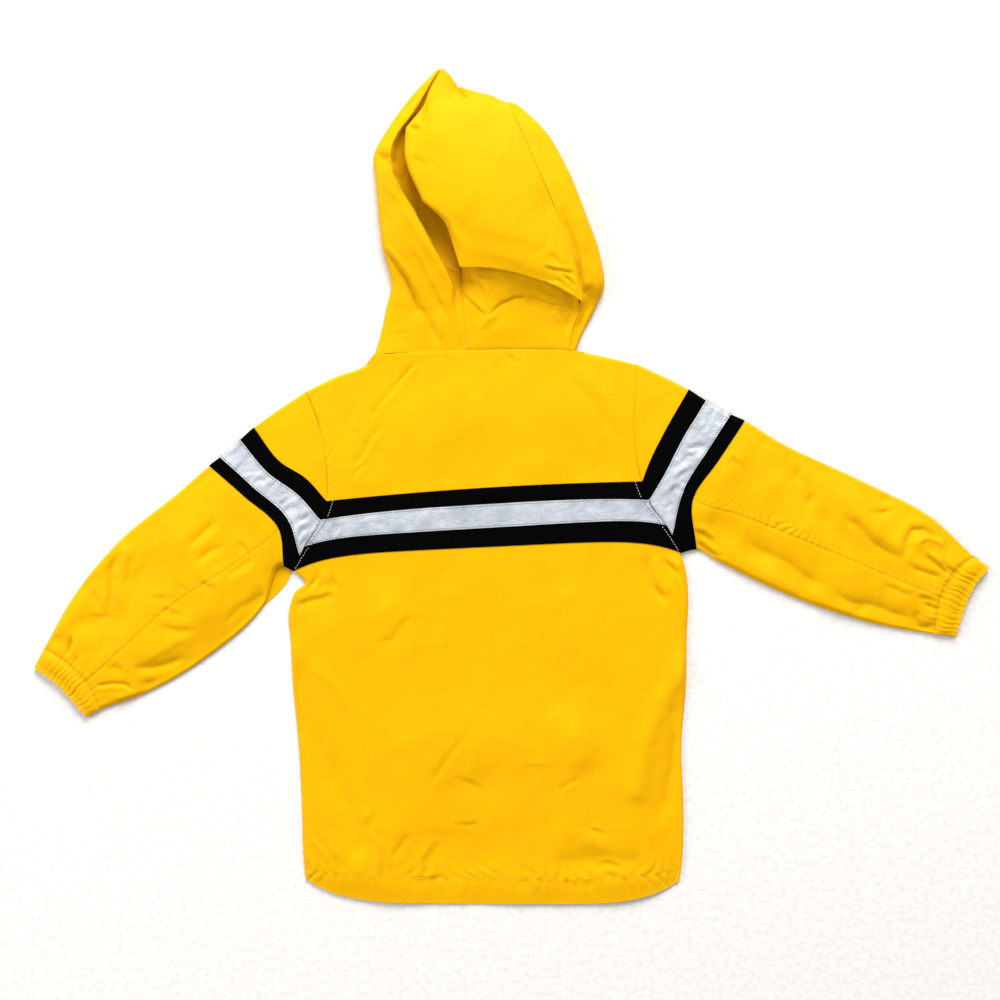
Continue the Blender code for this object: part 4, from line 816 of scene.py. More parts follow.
def noise_table(seed):
    """Random values from -1 to 1 for the corners of square cells."""
    return np.random.default_rng(seed).uniform(-1.0, 1.0, (NOISE_CELLS, NOISE_CELLS))


def at_corners(table, cells):
    """A table's values at the four corners of each point's cell, and the point's place in it."""
    base = np.floor(cells).astype(int)
    x0, y0 = np.moveaxis(base % NOISE_CELLS, -1, 0)
    x1, y1 = (x0 + 1) % NOISE_CELLS, (y0 + 1) % NOISE_CELLS
    return table[x0, y0], table[x1, y0], table[x0, y1], table[x1, y1], cells - base


def smooth_noise(points, size, seed):
    """Soft noise from -1 to 1 over plan points; size is the spacing of its hills."""
    start, right, above, end, place = at_corners(noise_table(seed), points / size)
    x, y = np.moveaxis(smooth_step(place), -1, 0)
    low = start * (1 - x) + right * x
    high = above * (1 - x) + end * x
    return low * (1 - y) + high * y


def faceted_noise(points, size, seed):
    """Noise from -1 to 1 in flat triangles between straight creases."""
    table = noise_table(seed)
    warp = [smooth_noise(points, FACET_WARP_LENGTH * size, seed + k) for k in FACET_WARP_SEEDS]
    cells = points / size + FACET_WARP * np.stack(warp, axis=-1)
    start, right, above, end, place = at_corners(table, cells)
    x, y = np.moveaxis(place, -1, 0)
    lower = start + (right - start) * x + (end - right) * y
    upper = start + (end - above) * x + (above - start) * y
    return np.where(x > y, lower, upper)


def beside_path(points, path):
    """Distance from a path, above zero on its left, and the length along it, of plan points."""
    best = np.full(points.shape[:-1], np.inf)
    signed = np.zeros(points.shape[:-1])
    along = np.zeros(points.shape[:-1])
    travelled = 0.0
    for start, end in zip(path[:-1], path[1:]):
        step = end - start
        length = max(float(np.linalg.norm(step)), 1e-9)
        t = np.clip(((points - start) @ step) / length**2, 0.0, 1.0)
        offset = points - start - t[..., None] * step
        distance = np.linalg.norm(offset, axis=-1)
        side = np.where(step[0] * offset[..., 1] - step[1] * offset[..., 0] >= 0, 1.0, -1.0)
        nearer = distance < best
        best = np.where(nearer, distance, best)
        signed = np.where(nearer, side * distance, signed)
        along = np.where(nearer, travelled + t * length, along)
        travelled += length
    return signed, along


def photo_points(pixels):
    """Plan points in the frame for pixels of the photograph."""
    return (np.array(pixels, dtype=float) - PHOTO_ORIGIN) * (1.0, -1.0)


def near_path(points, path, reach):
    """Which plan points lie in the box round a path."""
    low = path.min(axis=0) - reach
    high = path.max(axis=0) + reach
    return np.all((points > low) & (points < high), axis=-1)


def swell_relief(points, swells):
    """Sum of the broad swells and hollows at plan points."""
    relief = np.zeros(points.shape[:-1])
    for _, width, height, pixels in swells:
        path = photo_points(pixels)
        near = near_path(points, path, SWELL_REACH * width)
        if near.any():
            signed, _ = beside_path(points[near], path)
            relief[near] += height * np.exp(-((signed / width) ** 2))
    return relief


def crease_relief(points, creases):
    """Sum of the creases' troughs and ridges at plan points."""
    relief = np.zeros(points.shape[:-1])
    for _, width, height, lip, pixels in creases:
        path = photo_points(pixels)
        total = lengths_along(path)[-1]
        near = near_path(points, path, CREASE_REACH * width)
        if not near.any():
            continue
        signed, along = beside_path(points[near], path)
        taper = min(CREASE_TAPER * width, 0.5 * total)
        ends = smooth_step(np.minimum(along, total - along) / taper)
        if total < 2 * width:
            ends = 1.0
        wobble = WOBBLE_DEPTH * width * np.sin(along / (WOBBLE_LENGTH * width) + 2.0 * height)
        trough = height * crease_profile((signed - wobble) / width, lean(path, height))
        rim = lip * np.exp(-(((signed - RIM_PLACE * width) / (RIM_WIDTH * width)) ** 2))
        relief[near] += CREASE_STRENGTH * ends * (trough + rim)
    return relief


def lean(path, height):
    """The side of a crease's line on which it is steep: its folds lie over towards the hem."""
    upwards = 1.0 if path[-1, 0] > path[0, 0] else -1.0
    return upwards if height < 0 else -upwards


def crease_profile(distance, steep_side):
    """A crease's section: 1 at its line, steep on one side and falling off softly on the other."""
    stretch = np.where(distance * steep_side > 0, *CREASE_SIDES)
    rounded = np.sqrt((distance / stretch) ** 2 + CREASE_ROUNDING)
    return np.exp(CREASE_FALL * (math.sqrt(CREASE_ROUNDING) - rounded))


def unevenness(points, seed, crumple=1.0):
    """The hills, hollows and facets of cloth that has been folded, worn and laid down."""
    ridges = points * RIDGE_STRETCH + RIDGE_SHIFT
    bend = np.abs(smooth_noise(ridges, RIDGE_SPACING, seed + RIDGE_SEED))
    relief = RIDGE_HEIGHT * np.maximum(1.0 - RIDGE_SHARPNESS * bend, 0.0) ** 1.5
    layers = ((UNEVENNESS, smooth_noise, 1.0), (FACETS, faceted_noise, crumple))
    for table, noise, strength in layers:
        for k, (across, along, turn, height) in enumerate(table):
            angle = math.radians(turn)
            x = points[..., 0] * math.cos(angle) + points[..., 1] * math.sin(angle)
            y = points[..., 1] * math.cos(angle) - points[..., 0] * math.sin(angle)
            stretched = np.stack([x / across, y / along], axis=-1)
            relief += strength * height * noise(stretched, 1.0, seed + k)
    return relief


# ---------------- grids


def lifted(plan, heights):
    """Plan points with their heights as 3-D points."""
    return np.concatenate([plan, np.asarray(heights)[..., None]], axis=-1)


def first_side(grid):
    """1 where the grid's own winding faces up in its first columns, and -1 where down."""
    part = grid[:, :SIDE_COLUMNS]
    along = part[1:, :-1] - part[:-1, :-1]
    across = part[:-1, 1:] - part[:-1, :-1]
    return 1.0 if np.cross(along, across)[..., 2].sum() > 0 else -1.0


def grid_normals(grid):
    """Outward unit normals of a grid whose first corner faces up."""
    along = np.gradient(grid, axis=0)
    across = np.gradient(grid, axis=1)
    normals = np.cross(along, across) * first_side(grid)
    lengths = np.linalg.norm(normals, axis=-1)
    for i, j in np.argwhere(lengths < 1e-6):
        neighbour = j - 1 if j > 0 else j + 1
        normals[i, j] = normals[i, neighbour]
        lengths[i, j] = lengths[i, neighbour]
    return normals / lengths[..., None]


def inset_line(grid, edge, inset):
    """A line of points on a grid, set in from one of its edges by one distance or by several."""
    turned = {
        "first row": grid.swapaxes(0, 1),
        "last row": grid[::-1].swapaxes(0, 1),
        "first column": grid,
        "last column": grid[:, ::-1],
    }[edge]
    distances = np.broadcast_to(inset, len(turned))
    return np.array([at_lengths(line, line, wanted) for line, wanted in zip(turned, distances)])


# ---------------- materials

# Textures have their scale per metre, weaves their pitch in mm and bumps their depth in metres.


def new_material(name, roughness, specular):
    """A node material with its Principled shader, its node tree and its coordinates."""
    material = bpy.data.materials.new(name)
    material.use_nodes = True
    tree = material.node_tree
    shader = tree.nodes["Principled BSDF"]
    shader.inputs["Roughness"].default_value = roughness
    shader.inputs["Specular IOR Level"].default_value = specular
    places = tree.nodes.new("ShaderNodeTexCoord")
    return material, shader, tree, places.outputs


def noise_node(tree, places, scale, detail, distortion=0.0):
    """The value of a noise texture over the object's own coordinates."""
    node = tree.nodes.new("ShaderNodeTexNoise")
    for name, value in (("Scale", scale), ("Detail", detail), ("Distortion", distortion)):
        node.inputs[name].default_value = value
    tree.links.new(places["Object"], node.inputs["Vector"])
    return node.outputs["Fac"]


def ramp_node(tree, value, stops):
    """The colour of a ramp at a value."""
    node = tree.nodes.new("ShaderNodeValToRGB")
    ramp = node.color_ramp
    for _ in range(len(stops) - 2):
        ramp.elements.new(0.5)
    for element, (position, colour) in zip(ramp.elements, stops):
        element.position = position
        element.color = (*colour, 1.0)
    tree.links.new(value, node.inputs["Fac"])
    return node.outputs["Color"]


def two_tones(tree, value, dark, light, stops=(0.3, 0.7)):
    """A colour between a dark and a light one, by a value."""
    return ramp_node(tree, value, list(zip(stops, (dark, light))))


def grey(value):
    """A grey, from 0 for black to 1 for white."""
    return (value, value, value)


def multiplied(tree, first, second, share):
    """A colour multiplied by another one, by a share."""
    node = tree.nodes.new("ShaderNodeMix")
    node.data_type = "RGBA"
    node.blend_type = "MULTIPLY"
    node.inputs["Factor"].default_value = share
    tree.links.new(first, node.inputs["A"])
    tree.links.new(second, node.inputs["B"])
    return node.outputs["Result"]


def math_node(tree, operation, first, second):
    """A sum, product or other operation on sockets or numbers."""
    node = tree.nodes.new("ShaderNodeMath")
    node.operation = operation
    for socket, value in zip(node.inputs, (first, second)):
        if isinstance(value, (int, float)):
            socket.default_value = value
        else:
            tree.links.new(value, socket)
    return node.outputs[0]


def weave_height(tree, uv, pitch):
    """Over-and-under height of a plain weave, from UV coordinates in metres.

    The bands of a wave texture turn by 20 radians a metre at a scale of 1.
    """
    waves = []
    for direction in ("X", "Y"):
        wave = tree.nodes.new("ShaderNodeTexWave")
        wave.wave_type = "BANDS"
        wave.bands_direction = direction
        wave.inputs["Scale"].default_value = math.pi / (10.0 * pitch * MM)
        wave.inputs["Distortion"].default_value = 0.4
        tree.links.new(uv, wave.inputs["Vector"])
        waves.append(wave.outputs["Fac"])
    return math_node(tree, "MULTIPLY", waves[0], waves[1])


def bump_node(tree, height, strength, distance, normal=None):
    """A bump, after another one if a normal is given."""
    node = tree.nodes.new("ShaderNodeBump")
    node.inputs["Strength"].default_value = strength
    node.inputs["Distance"].default_value = distance
    tree.links.new(height, node.inputs["Height"])
    if normal is not None:
        tree.links.new(normal, node.inputs["Normal"])
    return node.outputs["Normal"]


def yellow_cloth():
    """Woven cloth with a thin matt coating: soft mottling, fine weave and small crinkles."""
    material, shader, tree, places = new_material("yellow_cloth", roughness=0.52, specular=0.028)
    spots = noise_node(tree, places, scale=22.0, detail=3.0)
    speckle = noise_node(tree, places, scale=700.0, detail=2.0)
    tone = two_tones(tree, spots, YELLOW_DEEP, YELLOW_LIGHT)
    grain = two_tones(tree, speckle, grey(0.93), grey(1.0))
    tree.links.new(multiplied(tree, tone, grain, share=0.5), shader.inputs["Base Color"])
    shader.inputs["Sheen Weight"].default_value = 0.01
    shader.inputs["Sheen Roughness"].default_value = 0.5
    creases = noise_node(tree, places, scale=130.0, detail=4.0)
    crinkle = bump_node(tree, creases, strength=0.22, distance=0.0012)
    weave = weave_height(tree, places["UV"], pitch=0.45)
    woven = bump_node(tree, weave, strength=0.16, distance=0.0002, normal=crinkle)
    tree.links.new(woven, shader.inputs["Normal"])
    return material


def black_weave():
    """Matt black woven trim with a few specks of lint."""
    material, shader, tree, places = new_material("black_weave", roughness=0.8, specular=0.012)
    lint = noise_node(tree, places, scale=420.0, detail=3.0)
    colour = ramp_node(tree, lint, ((0.0, BLACK_DEEP), (0.7, BLACK_LIGHT), (0.78, LINT)))
    tree.links.new(colour, shader.inputs["Base Color"])
    weave = weave_height(tree, places["UV"], pitch=0.6)
    woven = bump_node(tree, weave, strength=0.35, distance=0.0003)
    tree.links.new(woven, shader.inputs["Normal"])
    return material


def silver_tape():
    """Silver reflective tape: fine glass-bead grain over a crinkled, dull metal."""
    material, shader, tree, places = new_material("silver_tape", roughness=0.55, specular=0.25)
    shader.inputs["Metallic"].default_value = 0.25
    cloud = noise_node(tree, places, scale=60.0, detail=4.0)
    tone = two_tones(tree, cloud, SILVER_DEEP, SILVER_LIGHT)
    beads = noise_node(tree, places, scale=1500.0, detail=1.0)
    grain = two_tones(tree, beads, grey(0.86), grey(1.0), stops=(0.35, 0.65))
    tree.links.new(multiplied(tree, tone, grain, share=0.7), shader.inputs["Base Color"])
    creases = noise_node(tree, places, scale=130.0, detail=6.0)
    crinkle = bump_node(tree, creases, strength=0.55, distance=0.002)
    wrinkles = noise_node(tree, places, scale=55.0, detail=2.0, distortion=0.9)
    offset = math_node(tree, "SUBTRACT", wrinkles, 0.5)
    edge = math_node(tree, "MINIMUM", math_node(tree, "ABSOLUTE", offset, 0.0), 0.03)
    lines = bump_node(tree, edge, strength=0.45, distance=0.012, normal=crinkle)
    beaded = bump_node(tree, beads, strength=0.1, distance=0.0002, normal=lines)
    tree.links.new(beaded, shader.inputs["Normal"])
    return material


def thread_material(name, colour):
    """Twisted sewing thread."""
    material, shader, tree, places = new_material(name, roughness=0.6, specular=0.3)
    dark = tuple(0.8 * part for part in colour)
    twist = noise_node(tree, places, scale=900.0, detail=2.0)
    tone = two_tones(tree, twist, dark, colour)
    tree.links.new(tone, shader.inputs["Base Color"])
    return material


def floor_material():
    """Plain pale floor with a barely visible nap."""
    material, shader, tree, places = new_material("pale_floor", roughness=0.9, specular=0.1)
    nap = noise_node(tree, places, scale=160.0, detail=5.0)
    tone = two_tones(tree, nap, FLOOR_DEEP, FLOOR_LIGHT)
    tree.links.new(tone, shader.inputs["Base Color"])
    rough = bump_node(tree, nap, strength=0.25, distance=0.002)
    tree.links.new(rough, shader.inputs["Normal"])
    return material


# ---------------- objects


def new_mesh_object(name, points, faces, material, uvs=None):
    """A smooth-shaded object in metres from points in millimetres."""
    mesh = bpy.data.meshes.new(name)
    mesh.from_pydata((np.asarray(points) * MM).tolist(), [], faces)
    if uvs is not None:
        layer = mesh.uv_layers.new(name="cloth")
        corners = np.empty(len(mesh.loops), dtype=int)
        mesh.loops.foreach_get("vertex_index", corners)
        layer.data.foreach_set("uv", (np.asarray(uvs)[corners] * MM).ravel())
    mesh.validate()
    mesh.shade_smooth()
    mesh.set_sharp_from_angle(angle=SHARP_ANGLE)
    obj = bpy.data.objects.new(name, mesh)
    obj.data.materials.append(material)
    bpy.context.scene.collection.objects.link(obj)
    return obj


def thread_steps(grid):
    """The distances between a grid's neighbouring points, across and along it."""
    across = np.linalg.norm(np.diff(grid, axis=1), axis=-1)
    along = np.linalg.norm(np.diff(grid, axis=0), axis=-1)
    return across, along


def cloth_uvs(grid):
    """Lengths across and along the cloth, in millimetres, for each point of a grid."""
    across, along = thread_steps(grid)
    u = np.concatenate([np.zeros((len(grid), 1)), np.cumsum(across, axis=1)], axis=1)
    v = np.concatenate([np.zeros((1, grid.shape[1])), np.cumsum(along, axis=0)], axis=0)
    return np.stack([u, v], axis=-1).reshape(-1, 2)


def shell(name, grid, wall, material):
    """A thin closed cloth with its outer face on a grid of points."""
    inner = grid - grid_normals(grid) * wall
    inner[..., 2] = np.maximum(inner[..., 2], 0.0)
    rows, columns = grid.shape[:2]
    inside = rows * columns
    number = np.arange(inside).reshape(rows, columns)
    corners = [number[:-1, :-1], number[1:, :-1], number[1:, 1:], number[:-1, 1:]]
    outer_faces = np.stack([corner.ravel() for corner in corners], axis=-1)
    rim = np.concatenate([number[0], number[1:, -1], number[-1, -2::-1], number[-2:0:-1, 0]])
    after = np.roll(rim, -1)
    rim_faces = np.stack([rim, after, after + inside, rim + inside], axis=-1)
    faces = np.concatenate([outer_faces, outer_faces[:, ::-1] + inside, rim_faces])
    if first_side(grid) < 0:
        faces = faces[:, ::-1]
    points = np.concatenate([grid.reshape(-1, 3), inner.reshape(-1, 3)])
    uvs = np.tile(cloth_uvs(grid), (2, 1))
    obj = new_mesh_object(name, points, faces.tolist(), material, uvs)
    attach(obj, "root")
    return obj


def declare_cloth(grid):
    """Works out a piece's area along its own threads; the area is not used."""
    first = np.cross(grid[1:, :-1] - grid[:-1, :-1], grid[:-1, 1:] - grid[:-1, :-1])
    second = np.cross(grid[1:, :-1] - grid[1:, 1:], grid[:-1, 1:] - grid[1:, 1:])
    area = 0.5 * (np.linalg.norm(first, axis=-1) + np.linalg.norm(second, axis=-1)).sum()
    area = area * MM * MM


def cloth_piece(name, node, slot, grid, looks):
    """A shell that stands for a node of the frame, which it hides."""
    obj = shell(name, grid, WALLS[slot], looks[slot])
    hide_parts(node)
    declare_cloth(grid)


def trim_piece(name, node, slot, grid, looks, crinkle=0.0):
    """A strip that lies on a panel's own points, moved out."""
    lift = TRIM_LIFT + TRIM_SHELL
    if crinkle > 0.0:
        folds = crinkle * crinkles(grid[..., :2]) + crease_relief(grid[..., :2], TAPE_CREASES)
        above_floor = smooth_step(grid[..., 2] / FLAT_HEIGHT)
        lift = lift + np.maximum(crinkle + folds, 0.0) * above_floor
    outer = grid + grid_normals(grid) * np.broadcast_to(lift, grid.shape[:2])[..., None]
    cloth_piece(name, node, slot, outer, looks)
    return outer


def crinkles(points):
    """Sharp facets of stiff tape over plan points."""
    return sum(height * faceted_noise(points, size, seed) for height, size, seed in TAPE_FACETS)


# ---------------- stitching


def stitch_mesh(line, radius):
    """Points and faces of a row of thread stitches along a line on the cloth."""
    wanted = np.arange(0.5 * STITCH_PITCH, lengths_along(line)[-1], STITCH_PITCH)
    centres = at_lengths(line, line, wanted)
    if len(centres) < 2:
        return np.zeros((0, 3)), []
    along = unit(np.gradient(centres, axis=0))
    side = unit(np.cross(along, (0.0, 0.0, 1.0)))
    up = np.cross(side, along)
    points = []
    for place, share, rise in STITCH_RINGS:
        for k in range(STITCH_CORNERS):
            angle = 2 * math.pi * k / STITCH_CORNERS
            reach = radius * share
            point = centres + along * (place * STITCH_LENGTH) + up * rise
            point = point + side * (reach * math.cos(angle)) + up * (reach * math.sin(angle))
            points.append(point)
    points = np.stack(points, axis=1).reshape(-1, 3)
    starts = range(0, len(points), STITCH_CORNERS * len(STITCH_RINGS))
    return points, [face for start in starts for face in stitch_faces(start)]


def stitch_faces(start):
    """The faces of one stitch whose first corner has the given number."""
    firsts = [start + ring * STITCH_CORNERS for ring in range(len(STITCH_RINGS))]
    rings = [list(range(first, first + STITCH_CORNERS)) for first in firsts]
    faces = []
    for ring, after in zip(rings[:-1], rings[1:]):
        faces.extend(zip(ring, ring[1:] + ring[:1], after[1:] + after[:1], after))
    return faces + [tuple(reversed(rings[0])), tuple(rings[-1])]


def stitching(name, lines, material, radius=STITCH_RADIUS):
    """One object for several rows of stitches in the same thread."""
    points = []
    faces = []
    count = 0
    for line in lines:
        row_points, row_faces = stitch_mesh(line, radius)
        points.append(row_points)
        faces.extend(tuple(corner + count for corner in face) for face in row_faces)
        count += len(row_points)
    obj = new_mesh_object(name, np.concatenate(points), faces, material)
    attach(obj, "root")
    return obj


# ---------------- plan of body and sleeves


def rail(rows, side):
    """The points of one side of a table of the body."""
    first = 1 if side == "left" else 3
    return np.array([row[first:first + 2] for row in rows])


def body_places():
    """Places along the three stretches of the body's sides, finer at the hem's stitching."""
    stretches = (
        (SIDES[:3], HEM_SPACING), (SIDES[2:], BODY_SPACING), (ARMHOLE, BODY_SPACING),
        (SHOULDERS, BODY_SPACING),
    )
    hem, side, armhole, shoulder = (
        places_along([rail(rows, "left"), rail(rows, "right")], spacing)
        for rows, spacing in stretches
    )
    return np.concatenate([hem, side[1:] + 2]), armhole, shoulder


def body_rail(side):
    """The side of the body from the hem over the armhole to the neck, finely."""
    runs = []
    for rows, places in zip((SIDES, ARMHOLE, SHOULDERS), body_places()):
        runs.append(evaluate(rail(rows, side), places))
    return np.concatenate([runs[0], runs[1][1:], runs[2][1:]])


def body_row_places():
    """The place of each fine row of the body in the joined list of named rows."""
    sides, armhole, shoulders = body_places()
    first = len(SIDES) - 1
    second = first + len(ARMHOLE) - 1
    return np.concatenate([sides, armhole[1:] + first, shoulders[1:] + second])


def body_row(name):
    """The fine row of the body that lies on a named row."""
    return int(np.argmin(np.abs(body_row_places() - BODY_ROWS.index(name))))


def body_plan(shares):
    """Plan points of the body at shares of its width, the same for all rows or a set for each."""
    left = body_rail("left")
    right = body_rail("right")
    table = np.array([BOWS.get(name, STRAIGHT) for name in BODY_ROWS])
    places = body_row_places()
    bows, powers = (np.interp(places, range(len(table)), part) for part in table.T)
    chord = right - left
    upwards = unit(np.stack([-chord[:, 1], chord[:, 0]], axis=1))
    shares = np.broadcast_to(shares, (len(left), np.shape(shares)[-1]))
    shape = 1.0 - np.abs(2 * shares - 1) ** powers[:, None]
    offset = (bows[:, None] * shape)[..., None] * upwards[:, None, :]
    return left[:, None, :] + chord[:, None, :] * shares[..., None] + offset


def body_line(row, columns):
    """The points of one of the body's rows, in even shares of its width."""
    return body_plan(np.linspace(0.0, 1.0, columns))[row]


def eased_shares(columns, easing):
    """Shares from 0 to 1, closer together towards both ends."""
    even = np.linspace(0.0, 1.0, columns + 1)
    return (1.0 - easing) * even + easing * (0.5 - 0.5 * np.cos(math.pi * even))


def armhole_curve(side, places):
    """Points of the armhole at places from 0, the armpit, to 6, the shoulder."""
    return evaluate(rail(ARMHOLE, side), places)


def sleeve_rails(side):
    """The top edge, the crown and the back seam of a sleeve, as its table gives them."""
    return [table_column(SLEEVE[side], column) for column in (1, 2, 3)]


def sleeve_places(side):
    """Places along a sleeve's table."""
    return places_along(sleeve_rails(side), SLEEVE_SPACING)


def sleeve_under(side, places):
    """The sleeve's lower edge: down the armhole to the armpit, then along the underarm."""
    rows = SLEEVE[side]
    on_armhole = np.interp(places, range(PIT + 1), [row[4] for row in rows[:PIT + 1]])
    armhole = armhole_curve(side, on_armhole)
    free = [rail(ARMHOLE, side)[ARMPIT]] + [np.array(row[4]) for row in rows[PIT + 1:]]
    underarm = evaluate(np.array(free), np.maximum(places - PIT, 0.0))
    return np.where((places <= PIT)[:, None], armhole, underarm)


def sleeve_plan(side, across):
    """Plan points of a sleeve: rows from armhole to cuff, at places across from 0 to 3."""
    places = sleeve_places(side)
    rails = [evaluate(points, places) for points in sleeve_rails(side)]
    rails.append(sleeve_under(side, places))
    plan = evaluate(np.array(rails), across).swapaxes(0, 1)
    seam = armhole_curve(side, SHOULDER - np.asarray(across))
    outwards = -SEAM_GAP if side == "left" else SEAM_GAP
    seam = seam + (outwards, 0.0)
    share = np.clip(1.0 - places, 0.0, 1.0) ** 2
    return plan + (seam - plan[0]) * share[:, None, None]


def sleeve_across():
    """Places across a sleeve, closest together at its underarm."""
    outer = np.append(0.0, np.linspace(FIRST_COLUMN_PLACE, 2.0, BACK_SEAM))
    inner = 3.0 - (1.0 - np.linspace(0.0, 1.0, SLEEVE_INNER_COLUMNS)) ** UNDERARM_EASING
    return np.concatenate([outer, inner[1:]])


# ---------------- relief of body and sleeves


def build_outline():
    """The lines where the upper layer comes down to the lower one."""
    lines = []
    coarse = round(OUTLINE_SPACING / SLEEVE_SPACING)
    for side in ("left", "right"):
        for rows in (SIDES, SHOULDERS[:3]):
            points = rail(rows, side)
            lines.append(evaluate(points, places_along([points], OUTLINE_SPACING)))
        plan = sleeve_plan(side, (0.0, 3.0))
        lines.append(plan[::coarse, 0])
        lines.append(plan[row_at(sleeve_places(side), PIT)::coarse, 1])
    return lines


def build_seams():
    """The sewn lines that pull at the cloth, by name."""
    seams = {
        "hem": body_line(body_row("hem stitch"), FINE_COLUMNS),
        "hem edge": body_line(0, FINE_COLUMNS),
    }
    for side in ("left", "right"):
        places = places_along([rail(ARMHOLE, side)], OUTLINE_SPACING)
        seams[side + " armhole"] = armhole_curve(side, places)
        first = row_at(sleeve_places(side), TAPE_OUT)
        seams[side + " back seam"] = sleeve_plan(side, (2.0,))[first::COARSE_ROWS, 0]
    seams["neck"] = body_line(-1, COARSE_COLUMNS)
    return seams


def edge_distance(points, outline):
    """Distance of plan points from the outline."""
    nearest = np.full(points.shape[:-1], np.inf)
    for line in outline:
        signed, _ = beside_path(points, line)
        nearest = np.minimum(nearest, np.abs(signed))
    return nearest


def seam_relief(points, seams):
    """Valleys along the seams and the puckers beside them."""
    relief = np.zeros(points.shape[:-1])
    known = {name: beside_path(points, path) for name, path in seams.items()}
    for name, (signed, _) in known.items():
        depth, reach = SEAM_VALLEYS.get(name, PLAIN_SEAM_VALLEY)
        relief -= depth * np.exp(-np.abs(signed / reach) ** 1.5)
    slant, drift, uneven = (
        size * smooth_noise(points, spacing, seed) for size, spacing, seed in PUCKER_NOISE
    )
    strength = np.clip(PUCKER_STRENGTH + uneven, *PUCKER_LIMITS)
    for name, side, reach, wavelength, height in PUCKERS:
        signed, along = known[name]
        inside = np.clip(signed * side, 0.0, None)
        phase = 2 * math.pi * (along + slant * inside) / wavelength + drift
        fade = np.exp(-((inside - PUCKER_PEAK * reach) ** 2) / (PUCKER_SPREAD * reach) ** 2)
        fade = np.where(signed * side > 0, fade, 0.0)
        wave = 2.0 * np.abs(np.sin(0.5 * phase)) ** PUCKER_ROUNDNESS - PUCKER_MEAN
        relief += height * strength * fade * wave
    return relief


def layer_height(points, outline, seams, swells, creases, puff, seed):
    """Height of the upper layer over plan points, with all its creases."""
    distance = edge_distance(points, outline)
    share = np.clip(distance / EDGE_ROUND, 0.0, 1.0)
    rounded = np.sqrt(1.0 - (1.0 - share) ** 2)
    inside = np.maximum(distance - EDGE_ROUND, 0.0)
    height = EDGE_HEIGHT + (FLAT_HEIGHT - EDGE_HEIGHT) * rounded
    height = height + CAMBER * (1.0 - np.exp(-inside / CAMBER_REACH))
    height = height + puff * (1.0 - np.exp(-inside / SLEEVE_PUFF_REACH))
    relief = swell_relief(points, swells) + crease_relief(points, creases)
    crumple = 1.0 + PUFF_CRUMPLE * puff
    relief = relief + seam_relief(points, seams) + unevenness(points, seed, crumple)
    height = height + relief * smooth_step(distance / CREASE_FREE_EDGE)
    return np.maximum(height, EDGE_HEIGHT + LEAST_RISE * rounded)


# ---------------- the body


def make_back(outline, seams, looks):
    """The back panel with its band and tape, and the stitching on them."""
    plan = body_plan(eased_shares(BODY_COLUMNS, SIDE_EASING))
    heights = layer_height(plan, outline, seams, BODY_SWELLS, BODY_CREASES, 0.0, BODY_SEED)
    grid = lifted(plan, heights)
    cloth_piece("back_panel", "back", "yellow_cloth", grid, looks)
    make_back_trims(grid, looks)
    hem = body_row("hem stitch")
    lines = [grid[hem] + grid_normals(grid)[hem] * HEM_STITCH_LIFT]
    lines.append(inset_line(grid, "last row", NECK_INSET))
    for edge in ("first column", "last column"):
        armhole = inset_line(grid, edge, ARMHOLE_INSET)
        lines.append(armhole[body_row("band high") + BARE_ROWS:body_row("shoulder")])
    stitching("back_stitches", lines, looks["yellow_thread"])


def make_back_trims(grid, looks):
    """The black band and the silver tape across the back."""
    first = body_row("armpit")
    low = body_row("tape low") - first
    high = body_row("tape high") - first
    band = trim_piece(
        "back_band_trim", "back_band", "black_trim", grid[first:body_row("band high") + 1],
        looks,
    )
    tape = trim_piece(
        "back_tape_trim", "back_tape", "silver_tape", band[low:high + 1], looks,
        BACK_TAPE_CRINKLE,
    )
    ends = [inset_line(tape, edge, TAPE_END_INSET) for edge in ("first column", "last column")]
    stitching("back_tape_stitches", tape_lines(tape) + ends, looks["grey_thread"])
    white = white_seam_lines(band, low, high)
    stitching("back_band_stitches", white, looks["white_thread"], WHITE_STITCH_RADIUS)


def tape_lines(tape):
    """The stitched lines along both edges of a tape."""
    return [inset_line(tape, edge, TAPE_INSET) for edge in ("first row", "last row")]


def white_seam_lines(band_top, low, high):
    """The white stitches that show on the black trim beside the armholes."""
    lines = []
    below = np.interp(np.arange(len(band_top)), (0, low), WHITE_INSET_LOW)
    for edge in ("first column", "last column"):
        lines.append(inset_line(band_top, edge, below)[:low])
        lines.append(inset_line(band_top, edge, WHITE_INSET_HIGH)[high + 1:])
    return lines


def make_fronts(looks):
    """The two fronts and the flap between them, flat on the floor."""
    left = body_rail("left")
    right = body_rail("right")
    widths = right[:, 0] - left[:, 0]
    middle_x = np.interp(0.5 * (left[:, 1] + right[:, 1]), FLAP_LINE_Y, FLAP_LINE_X)
    middle = (middle_x - left[:, 0]) / widths
    half = 0.5 * FLAP_WIDTH / widths
    gap = SEAM_GAP / widths
    low = middle - half
    high = middle + half
    pieces = (
        ("front_panel_left", "front_left", np.zeros_like(middle), low - gap, FRONT_COLUMNS),
        ("front_flap_cloth", "front_flap", low, high, FLAP_COLUMNS),
        ("front_panel_right", "front_right", high + gap, np.ones_like(middle), FRONT_COLUMNS),
    )
    for name, node, start, end, count in pieces:
        steps = np.arange(count + 1) / count
        plan = body_plan(start[:, None] + (end - start)[:, None] * steps)
        grid = lifted(plan, np.full(plan.shape[:2], SHELL))
        cloth_piece(name, node, "yellow_cloth", grid, looks)


# ---------------- the sleeves


